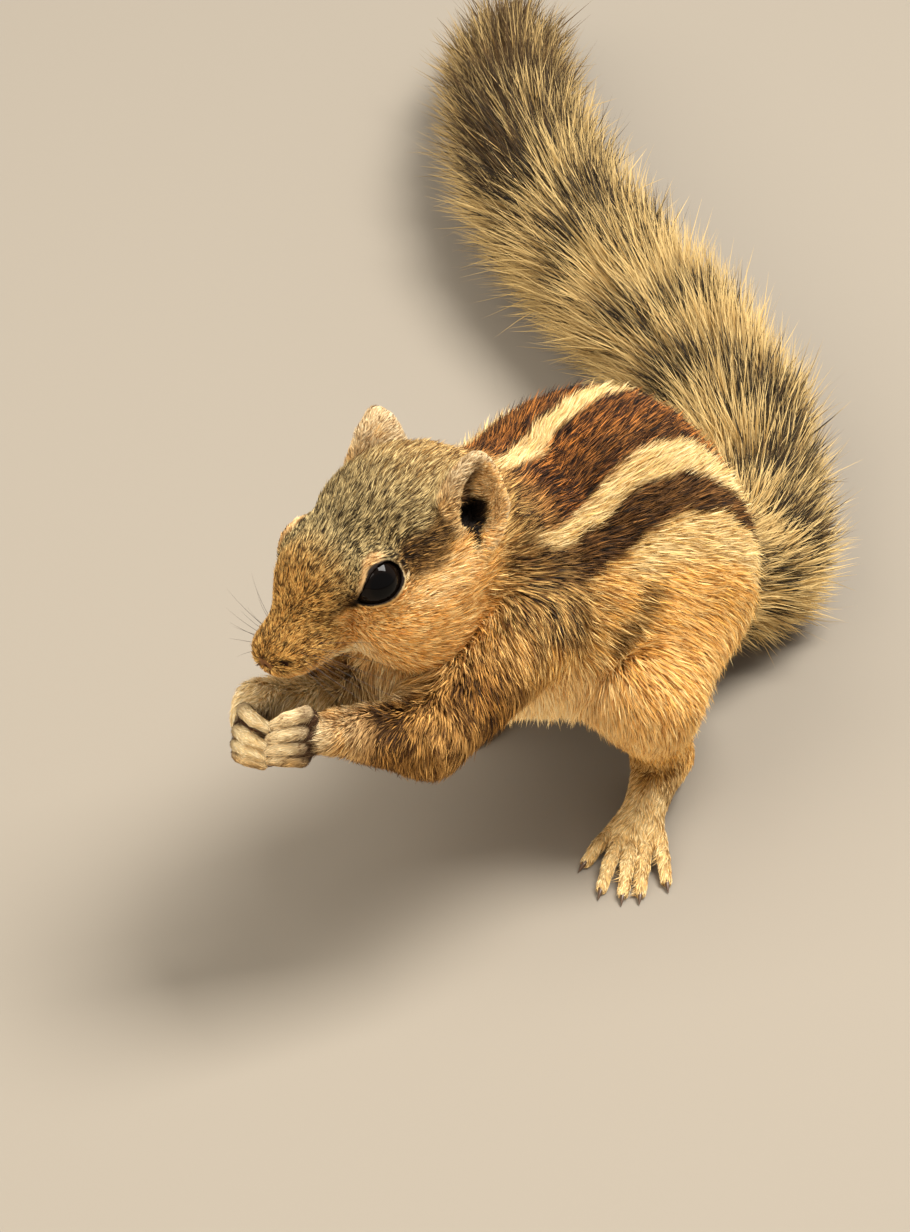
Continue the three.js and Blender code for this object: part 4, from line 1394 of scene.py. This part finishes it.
def tail_colours(share, tone, upward):
    """Buff hairs with a black band past the middle, dark to the tip in clumps along the top."""
    buff, black, cream = colour(182, 145, 82), colour(34, 27, 18), colour(216, 184, 122)
    brown = colour(122, 90, 50)
    count = len(tone)
    pick = 0.8 * tone + 0.2 * RNG.random(count)
    dark_share = np.interp(share, *TAIL_DARK)
    on_top = ramp(upward, -0.1, 0.6)
    dark = (pick < dark_share * (0.55 + 0.45 * on_top))[:, None]
    bold = (pick < dark_share * 0.75 * on_top)[:, None]
    some = (RNG.random(count) < 0.3)[:, None]
    shades = np.zeros((count, len(TAIL_LEVELS) + 1, 3))
    shades[:, 0] = brown * 0.6
    shades[:, 1] = np.where(dark & some, black, buff * 0.85)
    shades[:, 2] = np.where(dark, black, buff)
    shades[:, 3] = np.where(dark, black * 1.6, cream * 0.9)
    shades[:, 4] = np.where(bold, brown * 0.7, cream)
    far = ramp(share, 0.6, 0.95)[:, None, None] * 0.45
    shades += (brown * 0.8 - shades) * far
    fade = np.interp(share, *TAIL_BRIGHT)[:, None, None]
    return shades * fade * RNG.uniform(0.87, 1.13, (count, 1, 1))


# ---------- Materials ----------


def principled(name, roughness, specular):
    """A new material with its shader and its node tree."""
    material = bpy.data.materials.new(name)
    material.use_nodes = True
    shader = material.node_tree.nodes["Principled BSDF"]
    shader.inputs["Roughness"].default_value = roughness
    shader.inputs["Specular IOR Level"].default_value = specular
    return material, shader, material.node_tree


def plain(name, rgb, roughness, specular=0.5):
    """A material of one colour."""
    material, shader, _ = principled(name, roughness, specular)
    shader.inputs["Base Color"].default_value = (*rgb, 1)
    return material


def tinted(name, roughness, specular=0.15):
    """A material that shows the mesh's own tint."""
    material, shader, tree = principled(name, roughness, specular)
    tint = tree.nodes.new("ShaderNodeVertexColor")
    tint.layer_name = "tint"
    tree.links.new(tint.outputs["Color"], shader.inputs["Base Color"])
    return material


def roughen(material, scale, strength):
    """Gives the material a fine bump."""
    nodes, links = material.node_tree.nodes, material.node_tree.links
    place = nodes.new("ShaderNodeTexCoord")
    grain = nodes.new("ShaderNodeTexNoise")
    grain.inputs["Scale"].default_value = scale
    grain.inputs["Detail"].default_value = 4
    lump = nodes.new("ShaderNodeBump")
    lump.inputs["Strength"].default_value = strength
    lump.inputs["Distance"].default_value = 0.0002
    links.new(place.outputs["Object"], grain.inputs["Vector"])
    links.new(grain.outputs["Fac"], lump.inputs["Height"])
    links.new(lump.outputs["Normal"], nodes["Principled BSDF"].inputs["Normal"])


# ---------- Coat pieces ----------

# Where one piece ends and the next begins: degrees from the top of the back, and shares of the
# tail's length.
BACK_ANGLE = 70
TAIL_PIECES = ((0, 0.34), (0.34, 0.67), (0.67, 2))

UNFOLD_ANGLE = math.radians(66)
UNFOLD_GAP = 0.002

# How far round the eye's opening no hair grows.
LID_BARE = 0.8


def faces_of_pieces(shares, centres):
    """The faces of the skin under each coat piece."""
    names = np.array(PART_NAMES)[np.argmax(shares, axis=1)]
    angle = around_body(centres)
    x = to_head(centres)[:, 0]
    along = tail_frame(centres)[3]
    head, body = np.isin(names, ("head", "ear")), np.isin(names, ("neck", "trunk"))
    under = {
        "coat_head_left": head & (x >= 0),
        "coat_head_right": head & (x < 0),
        "coat_back_left": body & (angle >= 0) & (angle <= BACK_ANGLE),
        "coat_back_right": body & (angle < 0) & (angle >= -BACK_ANGLE),
        "coat_flank_left": body & (angle > BACK_ANGLE),
        "coat_flank_right": body & (angle < -BACK_ANGLE),
    }
    for side in SIDES:
        arm, leg = ("upper_arm", "forearm", "hand"), ("thigh", "shin", "foot")
        under[f"coat_arm_{side}"] = np.isin(names, [f"{side}_{part}" for part in arm])
        under[f"coat_leg_{side}"] = np.isin(names, [f"{side}_{part}" for part in leg])
    for n, (low, high) in enumerate(TAIL_PIECES):
        under[f"coat_tail_{n + 1}"] = (names == "tail") & (along >= low) & (along < high)
    return under


def unwrap(points, faces):
    """UVs of the corners of a patch of skin, unfolded by its own shape."""
    used, local = np.unique(faces, return_inverse=True)
    mesh = mesh_of("patch", points[used], local.reshape(faces.shape))
    patch = add_object("patch", mesh)
    mesh.uv_layers.new(name="unfolded")
    bpy.context.view_layer.objects.active = patch
    patch.select_set(True)
    bpy.ops.object.mode_set(mode="EDIT")
    bpy.ops.mesh.select_all(action="SELECT")
    bpy.ops.uv.smart_project(angle_limit=UNFOLD_ANGLE, island_margin=UNFOLD_GAP)
    bpy.ops.object.mode_set(mode="OBJECT")
    uv = np.zeros(faces.size * 2, np.float32)
    mesh.uv_layers[0].data.foreach_get("uv", uv)
    bpy.data.objects.remove(patch)
    bpy.data.meshes.remove(mesh)
    return uv.reshape(len(faces), faces.shape[1], 2)


def bare_places(points):
    """Where no hair grows: by the eyes' openings, on the nose and nostrils, and on the soles."""
    q = folded(to_head(points))
    away = off_eye(q)
    lids = (away < 0.25) | ((away < 2.0) & (lid_edge(q) < LID_BARE))
    nose = (np.linalg.norm(q - NOSE_TIP, axis=1) < 0.8) | (along_path(q, NOSTRIL) < 0.45)
    return lids | nose | (points[:, 2] < 0.5)


def coat_density(centres, shares):
    """Tufts per square millimetre: more on the snout, fewer under the body, none where it is bare."""
    density = coat_measures(shares)[0]
    y = to_head(centres)[:, 1]
    density = density * (1 + 0.5 * share_of(shares, "head") * (1 - ramp(y, -12, 0)))
    under = ramp(np.abs(around_body(centres)), 80, 120) * share_of(shares, "trunk", "neck")
    density = density * (1 - 0.35 * under)
    return np.where(bare_places(centres), 0, density)


def tail_coat(place, normal):
    """Levels, tints, widths and sides of the tail's hairs."""
    levels, share, tone, upward = tail_tufts(place, normal)
    tints = tail_colours(share, tone, upward)
    widths = 0.25 * RNG.uniform(0.7, 1.25, (len(place), 1)) * TAIL_WIDTHS
    return levels, tints, widths, blade_sides(levels, normal, 0.9)


def body_coat(volume, place, normal, lock):
    """Tufts whose colour is that of the place where they are seen, halfway along them."""
    shares = part_shares(place)
    levels, width, tone = body_tufts(volume, place, normal, shares, lock)
    shift = (1 - share_of(shares, "head", "ear", *both("hand")))[:, None]
    seen = place + (levels[:, 1] - place) * shift
    tints = tuft_colours(markings(seen, part_shares(seen)), place, tone)
    widths = width[:, None] * np.array([1.0, 0.8])
    return levels, tints, widths, blade_sides(levels, normal, 0.55)


def grow_coat(volume, points, faces, normals, material):
    """One object of tufts for each coat piece, in the order of their names."""
    centres = points[faces].mean(1)
    shares = part_shares(centres)
    density = coat_density(centres, shares)
    made = {}
    for name, under in sorted(faces_of_pieces(shares, centres).items()):
        uv = np.zeros((len(faces), 4, 2), np.float32)
        uv[under] = unwrap(points, faces[under])
        face, weight, place, normal = sow(points, faces, normals, density, under)
        spots = (uv[face] * weight[:, :, None]).sum(1)
        if name.startswith("coat_tail"):
            levels, tints, widths, side = tail_coat(place, normal)
        else:
            lock = HEAD_LOCK if name.startswith("coat_head") else BODY_LOCK
            levels, tints, widths, side = body_coat(volume, place, normal, lock)
        levels[:, :, 2] = np.maximum(levels[:, :, 2], LOWEST_HAIR)
        made[name] = blade_mesh(name, levels, side, widths, tints, spots, material)
    return made


# ---------- Eyes, claws and whiskers ----------

EYE_RINGS = 40
EYE_SPOKES = 64
EYE_GAP = 0.03

# A toe claw's radii from root to tip, and how thick a finger's claw is beside it.
CLAW_RADII = [0.42, 0.4, 0.35, 0.27, 0.17, 0.03]
CLAW_SIDES = 8
FINGER_CLAW = 0.62

WHISKER_ROWS = 4
WHISKER_COLUMNS = 3
WHISKER_RADIUS = 0.05
WHISKER_SIDES = 4


def make_eye(name, s, material):
    """A dark brown ball with a black pupil on its axis."""
    turns = np.linspace(0, math.pi, EYE_RINGS + 1)
    around = np.arange(EYE_SPOKES) * 2 * math.pi / EYE_SPOKES
    out, long, up = eye_axes()
    rings = [
        math.cos(t) * out + math.sin(t) * (math.cos(a) * long + math.sin(a) * up)
        for t in turns
        for a in around
    ]
    points = EYE_AT + (EYE_RADIUS - EYE_GAP) * np.array(rings)
    points = np.array([from_head(point * (s, 1, 1)) for point in points])
    faces = [quad[::s] for quad in tube_faces(EYE_RINGS, EYE_SPOKES, 0)]
    pupil = 1 - ramp(np.repeat(turns, EYE_SPOKES), 0.5, 0.6)
    iris, black = colour(15, 9, 6), colour(4, 3, 3)
    mesh = mesh_of(name, points, np.array(faces), iris + (black - iris) * pupil[:, None])
    return add_object(name, mesh, material)


def tube_faces(rings, spokes, first):
    """The quads between one ring of points and the next."""
    faces = []
    for ring in range(rings):
        for n in range(spokes):
            a = first + ring * spokes + n
            b = first + ring * spokes + (n + 1) % spokes
            faces.append((a, a + spokes, b + spokes, b))
    return faces


def spikes_object(name, spikes, sides, material):
    """One mesh of thin tubes, each along a path and tapering to its last point."""
    points, faces = [], []
    for path, radii in spikes:
        quads = tube_faces(len(path) - 1, sides, len(points))
        faces += [(a, b, d, c) for a, c, d, b in quads]
        heading = unit(path[-1] - path[0])
        aside = unit(np.cross(heading, (0.31, 0.17, 0.93)))
        up = np.cross(heading, aside)
        for centre, radius in zip(path, radii):
            for n in range(sides):
                a = 2 * math.pi * n / sides
                points.append(centre + radius * (math.cos(a) * aside + math.sin(a) * up))
    return add_object(name, mesh_of(name, np.array(points), np.array(faces)), material)


def claw_path(tip, ahead, droop, length):
    steps = np.linspace(0, 1, len(CLAW_RADII))
    return [tip + ahead * (length * t - 0.6) + np.array(droop) * (t * t) for t in steps]


def make_claws(material):
    spikes = []
    for side, s in SIDES.items():
        for root, _, tip in toe_joints(LEGS[side], s):
            ahead = unit((tip - root) * (1, 1, 0))
            start = tip + ahead * 0.4 + (0, 0, 0.2)
            spikes.append((claw_path(start, ahead, (0, 0, -0.7), TOE_CLAW_LENGTH), CLAW_RADII))
    for arm in ARMS.values():
        for _, _, middle, tip in finger_joints(arm)[1]:
            ahead = unit(tip - middle)
            path = claw_path(tip + ahead * 0.5, ahead, (0, 0.4, -0.1), FINGER_CLAW_LENGTH)
            spikes.append((path, [r * FINGER_CLAW for r in CLAW_RADII]))
    return spikes_object("claws", spikes, CLAW_SIDES, material)


def whisker(row, column, s, rng):
    """The path of one whisker: out from the snout's side, back and a little downward."""
    root = np.array([3.2 + 0.15 * column, -12.6 + 1.15 * column, -5.6 - 0.75 * row])
    length = 11 + 1.6 * column + rng.uniform(-1.5, 1.5)
    out = unit((1.0, -0.15 + 0.22 * column + rng.uniform(-0.1, 0.1), 0.25 - 0.22 * row))
    sag = np.array([0, 0.18, -0.16 + rng.uniform(-0.05, 0.05)])
    steps = np.linspace(0, 1, 9)
    path = [root - out + out * (length * t) + sag * length * t * t for t in steps]
    return [from_head(p * (s, 1, 1)) for p in path], [WHISKER_RADIUS * (1 - 0.85 * t) for t in steps]


def make_whiskers(material):
    rng = np.random.default_rng(3)
    spikes = []
    for s in SIDES.values():
        for column in range(WHISKER_COLUMNS):
            spikes += [whisker(row, column, s, rng) for row in range(WHISKER_ROWS)]
    return spikes_object("whiskers", spikes, WHISKER_SIDES, material)


# ---------- The model ----------

NOSE_SKIN = colour(112, 74, 42)
LID_SKIN = colour(26, 18, 13)
LIP_SKIN = colour(46, 26, 18)


def skin_tints(points):
    """The coat's mean colour a little darkened, with the bare nose, eyelids and lips."""
    main, dark, pale, dark_share, pale_share = markings(points, part_shares(points)).mixture()
    tint = main * (1 - dark_share - pale_share)
    tint += dark * dark_share + pale * pale_share
    tint *= 0.75
    q = folded(to_head(points))
    nose = 1 - ramp(np.linalg.norm(q - NOSE_TIP, axis=1), 0.8, 1.5)
    lids = (1 - ramp(lid_edge(q), 0.1, 0.45)) * (1 - ramp(off_eye(q), 1.6, 2.4))
    lips = 1 - ramp(at_points(mouth_tool(), q), 0.05, 0.3)
    for skin, mask in ((NOSE_SKIN, nose), (LID_SKIN, lids), (LIP_SKIN, lips)):
        tint += (skin - tint) * mask[:, None]
    return tint


def make_skin(points, faces):
    hide = tinted("hide", 0.7)
    roughen(hide, 2600.0, 0.5)
    skin = add_object("skin", mesh_of("skin", points, faces, skin_tints(points)), hide)
    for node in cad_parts:
        if not node.endswith("_eye"):
            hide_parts(node)
    return skin


def make_coat(volume, points, faces):
    normals = corner_normals(points, faces)
    coat = grow_coat(volume, points, faces, normals, tinted("fur", 0.72))
    return list(coat.values())


def make_eyes():
    wet = tinted("eye", 0.05, specular=0.3)
    wet.node_tree.nodes["Principled BSDF"].inputs["IOR"].default_value = 1.3
    eyes = []
    for side, s in SIDES.items():
        eye = make_eye(f"{side}_eye_ball", s, wet)
        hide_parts(f"{side}_eye")
        eyes.append(eye)
    return eyes


def build_animal():
    volume = skin_volume()
    points, faces = polygonise(volume)
    points[:, 2] = np.maximum(points[:, 2], FLOOR_GAP)
    pieces = [make_skin(points, faces)]
    pieces += make_coat(volume, points, faces)
    pieces += make_eyes()
    claws = make_claws(plain("horn", colour(84, 62, 44), 0.35))
    whiskers = make_whiskers(plain("whisker", colour(60, 48, 38), 0.4))
    for piece in (*pieces, claws, whiskers):
        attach(piece, "root")


# ---------- Stage ----------

# What the camera looks at and where it stands, in the animal's frame.
TARGET = np.array([3.09, -12.08, 45.28])
CAMERA = np.array([750.2, -968.3, 927.0])
LENS = 306.8
SENSOR = 36
WORLD_COLOUR = (1.0, 0.97, 0.93, 1)
WORLD_STRENGTH = 0.42

# Each light's place, its size in metres, its watts and its colour.
LIGHTS = {
    "sky": ((230, 370, 940), 0.5, 20, (1, 0.97, 0.92)),
    "key": ((-250, -600, 800), 0.9, 10, (1, 0.93, 0.82)),
    "fill": ((350, -600, 90), 0.4, 2.2, (1, 0.86, 0.68)),
}


def put(name, data, place):
    """An object at a place in the animal's frame, turned towards the target."""
    thing = add_object(name, data)
    thing.location = metres(place)
    direction = metres(TARGET) - thing.location
    thing.rotation_euler = direction.to_track_quat("-Z", "Y").to_euler()
    return thing


def metres(point):
    return Vector((np.array(point, float) + SHIFT) / 1000)


def build_lights():
    for name, (place, size, watts, rgb) in LIGHTS.items():
        light = bpy.data.lights.new(name, "AREA")
        light.size = size
        light.energy = watts
        light.color = rgb
        put(name, light, place).visible_glossy = name != "fill"
    world = bpy.data.worlds.new("studio")
    world.use_nodes = True
    background = world.node_tree.nodes["Background"]
    background.inputs["Color"].default_value = WORLD_COLOUR
    background.inputs["Strength"].default_value = WORLD_STRENGTH
    bpy.context.scene.world = world


def build_stage():
    bpy.ops.mesh.primitive_plane_add(size=8, location=(0, 0, 0))
    floor = bpy.context.object
    floor.name = "floor"
    floor.data.materials.append(plain("floor", colour(140, 132, 120), 0.8, specular=0.2))
    build_lights()
    camera = bpy.data.cameras.new("camera")
    camera.sensor_width = SENSOR
    camera.lens = LENS
    camera.clip_start = 0.01
    bpy.context.scene.camera = put("camera", camera, CAMERA)
    bpy.context.scene.view_settings.view_transform = "Standard"


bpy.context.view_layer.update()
build_animal()
build_stage()
